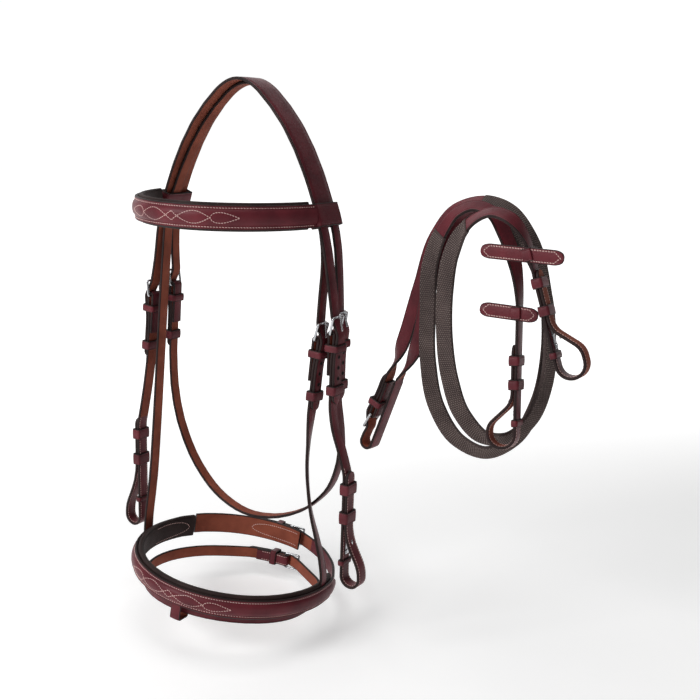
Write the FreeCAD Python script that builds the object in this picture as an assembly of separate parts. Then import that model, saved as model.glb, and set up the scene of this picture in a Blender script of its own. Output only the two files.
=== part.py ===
import FreeCAD, Part
import math
import os

# Snaffle bridle with flash noseband and rubber-grip reins, hanging from its poll.
# Millimetres. +Z up, -Y to the front of the horse's face, +X to the horse's left (the near side).
# The origin is the middle of the underside of the noseband's sliphead where it crosses the poll.
# Every strap is drawn along its grain face, and its leather lies on the right of that line.

Vec = FreeCAD.Vector
os.makedirs("parts", exist_ok=True)

# ---- driving dimensions ----
LEATHER = 3.0            # thickness of a strap
GAP = 0.3                # play between two layers
WIRE = 2.5               # wire of a buckle frame
BAR_R = WIRE / 2
FOLD_R = BAR_R + 0.25 + LEATHER        # grain face of a strap folded round its bar
BUCKLE_RISE = 17.0       # from the bar up to the frame's top
BUCKLE_LEAN = 3.3        # how far the frame's top stands outside its bar
TURN_BACK = 42.0         # length of the folded-back end, stitched to the strap
TAIL_BELOW = 72.0        # length of a tail below its bar
CHEEK_WIDTH = 14.0
THROAT_WIDTH = 12.0
SLIP_WIDTH = 13.0
CROWN_Y = (-18.0, -4.0, 3.5, 15.5)     # front edge, front tail's rear edge, rear tail's front edge, rear edge
CHEEK_Y = -11.0
THROAT_Y = 9.5
CROWN_GRAIN = 6.6        # height of the crown's grain face over the poll
BILLET_HOLE_R = 9.0      # inside radius of the loop that holds the bit ring
BILLET_TIP = -380.0
BROWBAND_Z = -126.0
BROWBAND_HALF = 102.0    # half its width at the horse's temples
BROWBAND_DEPTH = 119.0   # from the temples forward to the middle of the forehead
BROWBAND_HEIGHT = 23.0
NOSE_R = 112.0           # outside radius of the noseband
NOSE_ORIGIN = (-3.5, -9.75, -521.5)
NOSE_SLOPE = -0.09       # the noseband falls this much to the rear
NOSE_ROLL = -0.095       # and this much to the near side
NOSE_HEIGHT = 20.0
PADDING = 6.0            # thickness of the noseband's padding
CHIN_WIDTH = 24.0
FLASH_R = 101.0
FLASH_DROP = 23.0        # how far the flash strap's ring hangs below the noseband's middle
FLASH_SLOPE = -0.1485
FLASH_ROLL = -0.03
FLASH_WIDTH = 13.0
REIN_WIDTH = 16.0
GRIP_WIDTH = 18.0
GRIP_THICK = 4.6


# ---- straight runs joined by tangent arcs, and the straps made from them ----
def fold(path):
    """For each inside point of a path: where its arc starts, its centre, its radius and its turn."""
    corners = []
    for before, here, after in zip(path, path[1:], path[2:]):
        first = math.dist(before[:2], here[:2])
        second = math.dist(here[:2], after[:2])
        d1 = ((here[0] - before[0]) / first, (here[1] - before[1]) / first)
        d2 = ((after[0] - here[0]) / second, (after[1] - here[1]) / second)
        turn = math.atan2(d1[0] * d2[1] - d1[1] * d2[0], d1[0] * d2[0] + d1[1] * d2[1])
        reach = math.tan(abs(turn) / 2)
        radius = here[2] if len(here) > 2 else 0.45 * min(first, second) / reach
        back = radius * reach
        start = (here[0] - d1[0] * back, here[1] - d1[1] * back)
        side = math.copysign(radius, turn)
        centre = (start[0] - d1[1] * side, start[1] + d1[0] * side)
        corners.append((start, centre, radius, turn, d1, d2))
    return corners


def rail(path, shift):
    """The path moved to its left by shift, as lines (two points) and arcs (three points)."""
    first = math.dist(path[0][:2], path[1][:2])
    d = ((path[1][0] - path[0][0]) / first, (path[1][1] - path[0][1]) / first)
    here = (path[0][0] - d[1] * shift, path[0][1] + d[0] * shift)
    pieces = []
    for start, centre, radius, turn, d, d2 in fold(path):
        spoke = (start[0] - centre[0], start[1] - centre[1])
        scale = (radius - math.copysign(1, turn) * shift) / radius
        points = []
        for part in (0.0, 0.5, 1.0):
            c, s = math.cos(turn * part), math.sin(turn * part)
            points.append((centre[0] + scale * (spoke[0] * c - spoke[1] * s),
                           centre[1] + scale * (spoke[0] * s + spoke[1] * c)))
        if math.dist(here, points[0]) > 1e-4:
            pieces.append((here, points[0]))
        pieces.append(tuple(points))
        here, d = points[2], d2
    end = (path[-1][0] - d[1] * shift, path[-1][1] + d[0] * shift)
    pieces.append((here, end))
    return pieces


class Plane:
    """A flat drawing plane: u and v are drawn on it, and w runs across a strap's width."""

    def __init__(self, origin, u, v):
        self.origin = Vec(*origin)
        self.u = Vec(*u).normalize()
        self.v = (Vec(*v) - self.u * self.u.dot(Vec(*v))).normalize()
        self.w = self.v.cross(self.u)

    def at(self, u, v, w=0.0):
        return self.origin + self.u * u + self.v * v + self.w * w


def edge(plane, points, w):
    places = [plane.at(p[0], p[1], w) for p in points]
    if len(places) == 2:
        return Part.LineSegment(*places).toShape()
    return Part.Arc(*places).toShape()


def strap(plane, path, grain, flesh, width, centre=0.0):
    """A strap between two shifts of one path, of the given width across the plane."""
    low = centre - width / 2
    near = rail(path, grain)
    far = rail(path, flesh)
    edges = [edge(plane, piece, low) for piece in near]
    edges.append(edge(plane, (near[-1][-1], far[-1][-1]), low))
    edges += [edge(plane, piece[::-1], low) for piece in reversed(far)]
    edges.append(edge(plane, (far[0][0], near[0][0]), low))
    return Part.Face(Part.Wire(edges)).extrude(plane.w * width)


# ---- a strap that twists: its middle line and the way its grain faces are given point by point ----
def spline(points, t):
    """A smooth curve through points; t counts them from 0."""
    i = min(int(t), len(points) - 2)
    t -= i
    p1, p2 = points[i], points[i + 1]
    p0 = points[i - 1] if i > 0 else p1 * 2 - p2
    p3 = points[i + 2] if i + 2 < len(points) else p2 * 2 - p1
    a = max((p1 - p0).Length, 1e-6)
    b = max((p2 - p1).Length, 1e-6)
    c = max((p3 - p2).Length, 1e-6)
    m1 = ((p1 - p0) * (1 / a) - (p2 - p0) * (1 / (a + b)) + (p2 - p1) * (1 / b)) * b
    m2 = ((p2 - p1) * (1 / b) - (p3 - p1) * (1 / (b + c)) + (p3 - p2) * (1 / c)) * b
    return (p1 * (2 * t ** 3 - 3 * t ** 2 + 1) + m1 * (t ** 3 - 2 * t ** 2 + t)
            + p2 * (3 * t ** 2 - 2 * t ** 3) + m2 * (t ** 3 - t ** 2))


def ribbon(points, facings, start, end, steps, width, grain, flesh):
    """A twisted strap from point number start to point number end of its middle line."""
    rails = [[], [], [], []]
    for k in range(steps + 1):
        t = start + (end - start) * k / steps
        here = spline(points, t)
        step = 0.02
        along = (spline(points, min(t + step, len(points) - 1)) - spline(points, max(t - step, 0))).normalize()
        i = min(int(t), len(facings) - 2)
        face = facings[i] * (1 - t + i) + facings[i + 1] * (t - i)
        face = (face - along * face.dot(along)).normalize()
        across = along.cross(face)
        for line, (n, w) in zip(rails, ((grain, -1), (grain, 1), (flesh, 1), (flesh, -1))):
            line.append(here + face * n + across * (w * width / 2))
    curves = []
    spans = [0.0]
    for a, b in zip(rails[0], rails[0][1:]):
        spans.append(spans[-1] + (b - a).Length)
    for line in rails:
        curve = Part.BSplineCurve()
        curve.interpolate(Points=line, Parameters=spans)
        curves.append(curve.toShape())
    faces = [Part.makeRuledSurface(curves[k], curves[(k + 1) % 4], 1) for k in range(4)]
    for k in (0, -1):
        corners = [line[k] for line in rails]
        faces.append(Part.Face(Part.makePolygon(corners + corners[:1])))
    shell = Part.Shell(faces)
    shell.sewShape()
    solid = Part.Solid(shell)
    if solid.Volume < 0:
        solid.reverse()
    return solid


# ---- small pieces, drawn in a place on a strap: out of its grain face, up along it, and across ----
class Place:
    def __init__(self, origin, out, up):
        self.origin = Vec(origin)
        self.out = Vec(out).normalize()
        self.up = (Vec(up) - self.out * self.out.dot(Vec(up))).normalize()
        self.across = self.up.cross(self.out)

    def at(self, out, up, across=0.0):
        return self.origin + self.out * out + self.up * up + self.across * across


def block(place, out, up, across):
    """A block between pairs of limits."""
    base = [place.at(out[0], up[0], across[0]), place.at(out[1], up[0], across[0]),
            place.at(out[1], up[1], across[0]), place.at(out[0], up[1], across[0])]
    face = Part.Face(Part.makePolygon(base + base[:1]))
    return face.extrude(place.across * (across[1] - across[0]))


def rod(place, start, end, radius):
    a, b = place.at(*start), place.at(*end)
    return Part.makeCylinder(radius, (b - a).Length, a, b - a)


def keeper(place, out, half, up, wall=2.0):
    """A leather band round a stack of straps: it clears out[0] to out[1] and half each way across."""
    ring = block(place, (out[0] - wall, out[1] + wall), up, (-half - wall, half + wall))
    return ring.cut(block(place, out, (up[0] - 1, up[1] + 1), (-half, half)))


def bent_rod(places, radius):
    """A round wire through points, with a ball at each bend."""
    body = None
    for a, b in zip(places, places[1:]):
        piece = Part.makeCylinder(radius, (b - a).Length, a, b - a)
        body = piece if body is None else body.fuse(piece)
        body = body.fuse(Part.makeSphere(radius, b))
    return body


def buckle_frame(place, half, lean=BUCKLE_LEAN, rise=BUCKLE_RISE, corner=2.0):
    """A rectangular wire frame: its bar is at the place, and its top leans out over the tail."""
    slope = math.hypot(lean, rise)
    plane = Plane(place.origin, place.across, place.out * lean + place.up * rise)
    side = half + BAR_R
    outline = [(0, 0), (side, 0, corner), (side, slope, corner), (-side, slope, corner), (-side, 0, corner), (0, 0)]
    pieces = rail(outline, 0.0)
    wire = Part.Wire([edge(plane, piece, 0.0) for piece in pieces])
    profile = Part.Wire([Part.makeCircle(BAR_R, plane.at(0, 0), plane.u)])
    return wire.makePipeShell([profile], True, False)


def tongue(place, lean=BUCKLE_LEAN, rise=BUCKLE_RISE):
    """A bent pin with an eye round the bar; it goes out through the tail and rests on the frame's top."""
    eye_r = BAR_R + GAP
    eye = rod(place, (0, 0, -1.4), (0, 0, 1.4), eye_r + 1.1)
    pin = bent_rod([place.at(1.6, 0.9), place.at(8.3, 4.4), place.at(lean + 2.5, rise),
                    place.at(lean + 2.3, rise + 2.6)], 1.0)
    return eye.fuse(pin).cut(rod(place, (0, 0, -3), (0, 0, 3), eye_r))


def fold_slot(place):
    """The slot in the fold that lets the tongue's eye out."""
    return block(place, (-5.2, 9.0), (-4.4, 7.0), (-2.0, 2.0))


def tongue_hole(place):
    """The egg-shaped hole in the tail for the tongue."""
    return block(place, (3.2, 13.0), (-0.6, 7.4), (-1.7, 1.7))


def point_tip(solid, place, end, half, depth=(-30, 30)):
    """Cuts the end of a tail to a point, between two depths: end is its distance down from the place."""
    for side in (-1, 1):
        a = place.at(depth[0], -end - 1, side * half * 0.2)
        b = place.at(depth[0], -end + half * 0.9, side * (half + 1))
        c = place.at(depth[0], -end - 1, side * (half + 1))
        wedge = Part.Face(Part.makePolygon([a, b, c, a])).extrude(place.out * (depth[1] - depth[0]))
        solid = solid.cut(wedge)
    return solid


def hung(bar, lean):
    """Maps out and up, seen from a bar whose strap leans out by some degrees, to the plane's u and v."""
    c, s = math.cos(math.radians(lean)), math.sin(math.radians(lean))

    def to_plane(*points):
        return [(bar[0] + p[0] * c - p[1] * s, bar[1] + p[0] * s + p[1] * c) + tuple(p[2:]) for p in points]
    return to_plane


def bar_place(plane, bar, lean):
    c, s = math.cos(math.radians(lean)), math.sin(math.radians(lean))
    return Place(plane.at(*bar), plane.u * c + plane.v * s, plane.v * c - plane.u * s)


# Outline of a strap's buckle end and of the tail over it, out and up from the bar.
FOLDED_END = [(-FOLD_R, -TURN_BACK), (-FOLD_R, FOLD_R, FOLD_R), (FOLD_R, FOLD_R, FOLD_R), (FOLD_R, -8),
              (1.8, -24), (1.8, -TAIL_BELOW - 4, 60)]
LAYER = GAP + LEATHER
TAIL_END = [(1.3, BUCKLE_RISE, 10), (FOLD_R + LAYER + 1.0, 0), (FOLD_R + LAYER, -7.5), (1.8 + LAYER, -24),
            (1.8 + LAYER, -TAIL_BELOW)]

parts = {}


def save(name, shape):
    solids = shape.Solids
    body = solids[0] if len(solids) == 1 else Part.makeCompound(solids)
    parts[name] = body


def group(name, shape):
    """Adds a solid to a node that holds several alike."""
    save(name, Part.makeCompound([parts[name], shape]) if name in parts else shape)


# ---- the hanging straps of each side ----
def side_plane(side, y):
    return Plane((0, y, 0), (side, 0, 0), (0, 0, 1))


SIDES = {
    "left": {"side": 1, "cheek_bar": (121.5, -241), "cheek_lean": 0.0, "throat_bar": (113.5, -241), "throat_lean": 0.0,
             "cheek": [(126.5, -338), (135.5, -360), (143, -383, 30)], "billet": 143.0, "loop": -492,
             "front": [(117, -188)], "rear": [(112.5, -182)]},
    "right": {"side": -1, "cheek_bar": (120.5, -233), "cheek_lean": 5.0, "throat_bar": (108, -222), "throat_lean": 3.0,
              "cheek": [(133.5, -336), (138.5, -360), (144.5, -386, 30)], "billet": 144.5, "loop": -501,
              "front": [(114.5, -190)], "rear": [(110, -178)]},
}
CROWN_LEG = [(9, CROWN_GRAIN), (45, -21.5), (76, -63), (98, -114), (108.5, -144)]


def buckle_set(prefix, suffix, place, half, outs=(0, 0)):
    """Frame, tongue, fixed keeper and runner keeper of one buckle."""
    save(f"{prefix}_buckle_frame{suffix}", buckle_frame(place, half + 1.0))
    save(f"{prefix}_buckle_tongue{suffix}", tongue(place))
    fixed = keeper(place, (-FOLD_R - 0.2, FOLD_R + LAYER - 0.6), half + 0.3, (-20, -12))
    group(f"{prefix}_fixed_keepers" if suffix else f"{prefix}_fixed_keeper", fixed)
    runner = keeper(place, (1.8 - LEATHER - 0.45, 1.8 + LAYER + 0.45), half + 0.4, (-60, -50))
    save(f"{prefix}_runner_keeper{suffix}", runner)


def billet_end(place_x, loop):
    """The cheekpiece's end: down, round the bit loop and back up outside itself."""
    far = place_x + 2 * BILLET_HOLE_R
    low = loop - BILLET_HOLE_R
    return [(place_x, low, BILLET_HOLE_R), (far, low, BILLET_HOLE_R), (far, loop + 10), (place_x + GAP, -451),
            (place_x + GAP, BILLET_TIP)]


def hook_stud(place):
    """A flat steel hook on the strap; its nose comes out through the billet's slit."""
    plate = block(place, (0.2, 1.4), (-9, 6), (-3, 3))
    nose = bent_rod([place.at(1.2, 4), place.at(4.4, 8.0), place.at(6.6, 5.0), place.at(6.9, 0.0)], 1.1)
    rivet = rod(place, (1.0, -6, 0), (2.2, -6, 0), 2.2)
    return plate.fuse(nose).fuse(rivet)


def cheekpiece(name):
    data = SIDES[name]
    plane = side_plane(data["side"], CHEEK_Y)
    place = bar_place(plane, data["cheek_bar"], data["cheek_lean"])
    x = data["billet"]
    path = hung(data["cheek_bar"], data["cheek_lean"])(*FOLDED_END) + data["cheek"] + billet_end(x, data["loop"])
    body = strap(plane, path, 0.0, -LEATHER, CHEEK_WIDTH).cut(fold_slot(place))
    top = Place(plane.at(x + GAP, BILLET_TIP), plane.u, plane.v * -1)
    body = point_tip(body, top, 0.0, CHEEK_WIDTH / 2, (-0.15, 6))
    hook = Place(plane.at(x, -460), plane.u, plane.v)
    body = body.cut(block(hook, (0.1, 14), (-4, 12), (-1.9, 1.9)))
    save(f"cheekpiece_{name}", body)
    buckle_set("cheek", f"_{name}", place, CHEEK_WIDTH / 2)
    group("cheek_hook_studs", hook_stud(hook))
    level = Place(plane.at(x, 0), plane.u, plane.v)
    half = CHEEK_WIDTH / 2 + 0.2
    stack = (-LEATHER - 0.2, GAP + LEATHER + 0.2)
    bands = [keeper(level, stack, half, (-404, -392)), keeper(level, stack, half, (-435, -422)),
             keeper(level, (-LEATHER - 0.2, 0.2), half, (-481, -475), 1.6)]
    save(f"cheek_billet_keepers_{name}", Part.makeCompound(bands))


def crown_half(name, tail):
    """One end of the crown, from its tail's tip up to the leg that both tails share."""
    data = SIDES[name]
    bar, lean = (data["cheek_bar"], data["cheek_lean"]) if tail == "front" else (data["throat_bar"], data["throat_lean"])
    end = hung(bar, lean)(*TAIL_END)
    return end[::-1] + data[tail][::-1] + CROWN_LEG[::-1]


def crown_strip(y0, y1, left, right):
    """A strip of the crown over the poll; the right half is mirrored, so the path runs from right to left."""
    path = [(-p[0],) + tuple(p[1:]) for p in right] + left[::-1]
    plane = Plane((0, (y0 + y1) / 2, 0), (1, 0, 0), (0, 0, 1))
    return strap(plane, path, 0.0, -LEATHER, y1 - y0)


def crown_headpiece():
    front = crown_strip(CROWN_Y[0], CROWN_Y[1], crown_half("left", "front"), crown_half("right", "front"))
    rear = crown_strip(CROWN_Y[2], CROWN_Y[3], crown_half("left", "rear"), crown_half("right", "rear"))
    top = CROWN_LEG[::-1]
    middle = crown_strip(CROWN_Y[1], CROWN_Y[2], top, top)
    for name in SIDES:
        data = SIDES[name]
        for tail, y, half in (("cheek", CHEEK_Y, CHEEK_WIDTH / 2), ("throat", THROAT_Y, THROAT_WIDTH / 2)):
            place = bar_place(side_plane(data["side"], y), data[f"{tail}_bar"], data[f"{tail}_lean"])
            if tail == "cheek":
                front = point_tip(front.cut(tongue_hole(place)), place, TAIL_BELOW, half)
            else:
                rear = point_tip(rear.cut(tongue_hole(place)), place, TAIL_BELOW, half)
    save("crown_headpiece", front.fuse([middle, rear]).removeSplitter())


def throatlatch():
    near, far = SIDES["left"], SIDES["right"]
    start = hung(near["throat_bar"], near["throat_lean"])(*FOLDED_END)
    end = hung(far["throat_bar"], far["throat_lean"])(*FOLDED_END)
    end = [(-p[0],) + tuple(p[1:]) for p in end][::-1]
    bottom = [(120.5, -346), (122, -376), (111, -412), (80, -445), (38, -465), (-6, -471), (-48, -456),
              (-82, -423), (-104, -380), (-113, -338)]
    path = start + bottom + end
    plane = Plane((0, THROAT_Y, 0), (1, 0, 0), (0, 0, 1))
    body = strap(plane, path, 0.0, -LEATHER, THROAT_WIDTH)
    for name in SIDES:
        data = SIDES[name]
        place = bar_place(side_plane(data["side"], THROAT_Y), data["throat_bar"], data["throat_lean"])
        body = body.cut(fold_slot(place))
        buckle_set("throat", f"_{name}", place, THROAT_WIDTH / 2)
    save("throatlatch_strap", body)


# ---- the noseband's own sliphead, inside the crown; it slants forward going down ----
SLANT = 0.0646
SLIP_PLANE = Plane((0, 3, 0), (1, 0, 0), (0, SLANT, 1))
SLIP_BAR = (104.0, -250.0)
SLIP_LEAN = -3.0


def sliphead():
    right = [(118.6, -519), (118.6, -490), (113, -440), (110.6, -370), (109, -300), (107.5, -235), (105.5, -178)]
    leg = [(8, 3.0), (42, -24.4), (72.6, -65.5), (94.2, -115.5), (104.4, -145)]
    left = [(108, -172), (106.5, -208)] + hung(SLIP_BAR, SLIP_LEAN)(*TAIL_END)
    path = [(-p[0],) + tuple(p[1:]) for p in right + leg[::-1]] + leg + left
    place = bar_place(SLIP_PLANE, SLIP_BAR, SLIP_LEAN)
    body = strap(SLIP_PLANE, path, 0.0, -LEATHER, SLIP_WIDTH).cut(tongue_hole(place))
    save("noseband_sliphead", point_tip(body, place, TAIL_BELOW, SLIP_WIDTH / 2))


def join_ribbon(place, out, points, facings, steps, width, lead=20.0):
    """A free strap that carries on from a drawn one, whose middle is out from the place at up = 0."""
    line = [place.at(out, lead), place.at(out, -1.0)] + [Vec(*p) for p in points]
    faces = [place.out, place.out] + [Vec(*f) for f in facings]
    return ribbon(line, faces, 1, len(line) - 1, steps, width - 0.2, LEATHER / 2 - 0.1, 0.1 - LEATHER / 2)


def noseband_cheek_strap():
    """From the sliphead's buckle down to the near side of the noseband, turning a little to the rear."""
    place = bar_place(SLIP_PLANE, SLIP_BAR, SLIP_LEAN)
    folded = strap(SLIP_PLANE, hung(SLIP_BAR, SLIP_LEAN)(*FOLDED_END), 0.0, -LEATHER, SLIP_WIDTH)
    points = [(94.5, -13.5, -360), (91, -10, -386), (90, -6, -412), (92, -2, -442), (97.5, 2, -470),
              (102.5, 4.7, -496)]
    points += [tuple(TUCK_PLACE.at(-1.95, up)) for up in (16, 5, -4)]
    facings = [(0.9, 0.4, 0), (0.85, 0.5, 0), (0.82, 0.55, 0), (0.82, 0.5, 0.25), (0.85, 0.35, 0.35),
               (0.9, 0.2, 0.25)] + [tuple(TUCK_PLACE.out)] * 3
    end = Place(place.at(0, -TAIL_BELOW - 3), place.out, place.up)
    free = join_ribbon(end, 1.8 - LEATHER / 2, points, facings, 40, SLIP_WIDTH)
    save("noseband_cheek_strap", folded.cut(fold_slot(place)).fuse(free))
    buckle_set("sliphead", "", place, SLIP_WIDTH / 2)


# ---- browband ----
def browband():
    plane = Plane((0, 0, BROWBAND_Z), (1, 0, 0), (0, 1, 0))
    start = math.radians(190.4)
    curve = []
    for k in range(13):
        a = start + (2 * math.pi - 2 * (start - math.pi) - math.pi) * k / 12
        curve.append((BROWBAND_HALF * math.cos(a), BROWBAND_DEPTH * math.sin(a)))
    save("browband_face", strap(plane, curve, -LEATHER, 0.0, BROWBAND_HEIGHT))
    save("browband_padding", strap(plane, curve[1:-1], 0.7, 5.7, BROWBAND_HEIGHT + 4))
    loops = []
    for side in (-1, 1):
        tilt = math.radians(19.3)
        place = Place(Vec(side * 102.3, -1.25, BROWBAND_Z), Vec(side * math.cos(tilt), 0, math.sin(tilt)),
                      Vec(-side * math.sin(tilt), 0, math.cos(tilt)))
        loops.append(keeper(place, (-8.0, 0.6), 17.1, (-11.5, 11.5), 2.4))
    save("browband_loops", Part.makeCompound(loops))


# ---- noseband and flash ----
def polar(radius, degrees, *rest):
    a = math.radians(degrees)
    return (radius * math.cos(a), radius * math.sin(a)) + rest


def arc_path(radius, start, end, count):
    """An arc as sides that all touch it."""
    step = (end - start) / count
    corner = radius / math.cos(math.radians(step / 2))
    corners = [polar(corner, start + (k + 0.5) * step) for k in range(count)]
    return [polar(radius, start)] + corners + [polar(radius, end)]


NOSE = Plane(NOSE_ORIGIN, (1, 0, NOSE_ROLL), (0, 1, NOSE_SLOPE))
FLASH = Plane((NOSE_ORIGIN[0], NOSE_ORIGIN[1], NOSE_ORIGIN[2] - FLASH_DROP), (1, 0, FLASH_ROLL),
              (0, 1, FLASH_SLOPE))


LOOP_AT = polar(NOSE_R - LEATHER / 2, -84.3)
LOOP_PLACE = Place(NOSE.at(*LOOP_AT), NOSE.at(*LOOP_AT) - NOSE.origin, NOSE.w * -1)
TUCK_AT = polar(NOSE_R - LEATHER, 8.3)     # where the sliphead's near strap is sewn in behind the face
TUCK_PLACE = Place(NOSE.at(*TUCK_AT), NOSE.at(*TUCK_AT) - NOSE.origin, NOSE.w * -1)


def ring_place(plane, radius, degrees):
    """A bar's place on a ring; up points back along the ring towards smaller angles."""
    a = math.radians(degrees)
    out = plane.u * math.cos(a) + plane.v * math.sin(a)
    return Place(plane.at(*polar(radius, degrees)), out, plane.u * math.sin(a) - plane.v * math.cos(a))


def in_place(bar_radius, degrees, points):
    """Out and up, seen from a bar on the ring, to the ring plane's u and v."""
    a = math.radians(degrees)
    base = polar(bar_radius, degrees)
    out, up = (math.cos(a), math.sin(a)), (math.sin(a), -math.cos(a))
    return [(base[0] + p[0] * out[0] + p[1] * up[0], base[1] + p[0] * out[1] + p[1] * up[1]) + tuple(p[2:])
            for p in points]


def ring_fold(bar_r, degrees):
    """A buckle's folded end on a ring: the turned-back layer inside, the fold, then the strap outside it."""
    inside = bar_r - FOLD_R
    ends = in_place(bar_r, degrees, [(-FOLD_R, FOLD_R, FOLD_R), (FOLD_R, FOLD_R, FOLD_R)])
    return [polar(inside, degrees + 20), polar(inside * 1.006, degrees + 10)] + ends + [
        polar(bar_r + FOLD_R + 0.2, degrees + 4), polar(bar_r + 2.2, degrees + 13)]


def ring_tail(bar_r, degrees, sweep):
    """The tail over that end, from the frame's top to its tip."""
    through = in_place(bar_r, degrees, [(1.3, BUCKLE_RISE, 10), (FOLD_R + LAYER + 1.0, 0)])
    return through + [polar(bar_r + FOLD_R + LAYER + 0.5, degrees + 4), polar(bar_r + 2.7 + LAYER, degrees + 13),
                      polar(bar_r + 2.5 + LAYER, degrees + sweep)]


NOSE_BAR = (NOSE_R + 2.4 + FOLD_R, 95.0)
FLASH_BAR = (FLASH_R + FOLD_R, 94.0)
BILLET_WIDTH = 16.0


def noseband():
    save("noseband_face", strap(NOSE, arc_path(NOSE_R, 156, 384, 14), 0.0, LEATHER, NOSE_HEIGHT))
    padding = strap(NOSE, arc_path(NOSE_R - 3.5, 158, 382, 14), 0.0, PADDING, NOSE_HEIGHT + 6)
    padding = padding.cut(block(LOOP_PLACE, (-3.9, 1), (-16, -2.2), (-6.4, 6.4)))
    pocket = block(TUCK_PLACE, (-3.65, 1), (-6, 16), (-SLIP_WIDTH / 2 - 0.3, SLIP_WIDTH / 2 + 0.3))
    save("noseband_padding", padding.cut(pocket))
    save("noseband_chin_strap", strap(NOSE, arc_path(NOSE_R, 155.3, 85, 6), 0.0, -LEATHER, CHIN_WIDTH))
    place = ring_place(NOSE, *NOSE_BAR)
    chape = ring_fold(*NOSE_BAR) + [polar(NOSE_BAR[0] + 1.9, NOSE_BAR[1] + 20)]
    body = strap(NOSE, chape, 0.0, LEATHER, BILLET_WIDTH)
    save("noseband_buckle_chape", body.cut(fold_slot(place)))
    save("noseband_buckle_frame", buckle_frame(place, BILLET_WIDTH / 2 + 1.0))
    save("noseband_buckle_tongue", tongue(place))


def noseband_rear():
    """The near side's billet through the noseband's buckle, and the keepers over both."""
    place = ring_place(NOSE, *NOSE_BAR)
    path = [polar(NOSE_R, 24.7), polar(NOSE_R + 0.6, 42), polar(NOSE_R + 2.6, 62), polar(NOSE_R + 5.0, 76)]
    path += ring_tail(*NOSE_BAR, 25)
    body = strap(NOSE, path, 0.0, LEATHER, BILLET_WIDTH).cut(tongue_hole(place))
    tip = ring_place(NOSE, NOSE_BAR[0], NOSE_BAR[1] + 25)
    save("noseband_billet_strap", point_tip(body, tip, 0.0, BILLET_WIDTH / 2))
    over = ring_place(NOSE, NOSE_BAR[0], NOSE_BAR[1] + 7.5)
    half = BILLET_WIDTH / 2 + 0.3
    save("noseband_fixed_keeper", keeper(over, (-FOLD_R - 0.5, 5.2 + LAYER), half, (-4, 4), 1.2))


def flash():
    """One strap round the muzzle, through the loop under the noseband, buckled at the rear."""
    place = ring_place(FLASH, *FLASH_BAR)
    ring = [polar(FLASH_BAR[0] + 2.2, FLASH_BAR[1] + 24)]
    for a in range(135, 420, 15):
        flat = math.sin(math.pi * (a - 330) / 100) ** 2 if a > 330 else 0.0
        ring.append(polar(FLASH_R + 1.0 - 9.0 * flat, a))
    path = ring_fold(*FLASH_BAR) + ring + ring_tail(*FLASH_BAR, 27)
    body = strap(FLASH, path, 0.0, LEATHER, FLASH_WIDTH).cut(fold_slot(place)).cut(tongue_hole(place))
    tip = ring_place(FLASH, FLASH_BAR[0], FLASH_BAR[1] + 27)
    save("flash_strap", point_tip(body, tip, 0.0, FLASH_WIDTH / 2, (2.35, 12)))
    save("flash_buckle_frame", buckle_frame(place, FLASH_WIDTH / 2 + 1.0))
    save("flash_buckle_tongue", tongue(place))
    half = FLASH_WIDTH / 2 + 0.3
    over = ring_place(FLASH, FLASH_BAR[0], FLASH_BAR[1] + 8)
    save("flash_fixed_keeper", keeper(over, (-FOLD_R - 0.6, 5.2 + LAYER), half, (-4, 4), 1.6))
    drop = Plane(LOOP_PLACE.origin, LOOP_PLACE.out, LOOP_PLACE.up)
    path = [(-2.0, -3), (-2.0, -29, 3), (-18.5, -29, 3), (-18.5, 3, 2.5), (-10.6, 3)]
    save("flash_loop", strap(drop, path, 0.0, -1.6, 12))


# ---- reins: two, buckled together at the hand end, each with a bit loop at the other ----
GRIP = (0.64, 0.77)      # how far a grip faces outward from the hung coil, and how far to its front
COIL_CENTRE = Vec(248, 66, -235)
COIL_FRONT = Vec(0.605, -0.755, 0.252)
REIN_ROUTES = {
    "left": [(145, 84, -263), (161, 87, -199), (176, 91, -145), (194, 95, -119), (223, 94, -109),
             (251, 94.5, -115), (275, 95.5, -140), (294, 93.5, -185), (303, 90.5, -241), (298, 87, -302),
             (278, 83, -344), (251, 78, -361), (220, 75, -353), (197, 70, -322), (185, 67, -273),
             (183, 65, -220), (184, 63, -173), (195, 61, -141), (212, 60, -119), (232, 59, -111),
             (252, 58, -117), (266, 56, -135), (278, 54, -158)],
    "right": [(168, 73, -261), (180, 72, -199), (196, 72, -149), (213, 74, -123), (233, 75, -115),
             (256, 74, -122), (279, 73, -144), (301, 72, -180), (313, 70, -229), (313, 69, -278),
             (301, 66, -315), (280, 62, -336), (255, 59, -338), (233, 56, -319), (219, 52, -284),
             (211, 50, -239), (210, 48, -199), (215, 46, -160), (227, 43, -135), (244, 39, -120),
             (263, 35, -113), (282, 33, -118)],
}
REIN_GRIPS = {"left": (6.0, 19.0), "right": (7.0, 20.4)}


def coil_facing(point):
    """The grain of a hung rein faces outward and to the front, so the coil is a little like a cone."""
    spoke = point - COIL_CENTRE
    spoke = (spoke - COIL_FRONT * spoke.dot(COIL_FRONT)).normalize()
    return spoke * GRIP[0] + COIL_FRONT * GRIP[1]


HAND_BAR = Vec(114, 86, -347)
HAND_UP = (-0.34, 0.02, -0.94)
HAND_OUT = (-0.93, 0.10, 0.34)
REIN_HOLE_R = 12.0
REIN_ENDS = {
    "left": {"origin": (287, 57, -199), "up": (-0.11, 0.137, 0.984), "out": (0.98, 0.1, 0), "turn": -1,
             "loop": -139.5, "tip": -39, "keepers": (-54, -77), "small": -113.5, "hook": -98.5,
             "stop": -9, "reach": (-36, 21)},
    "right": {"origin": (298, 39, -136), "up": (-0.345, 0.037, 0.938), "out": (0.98, 0.1, 0.446), "turn": 1,
              "loop": -130, "tip": -28, "keepers": (-40, -66), "small": -107.5, "hook": -93,
              "stop": -13, "reach": (-45, 34)},
}


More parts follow.
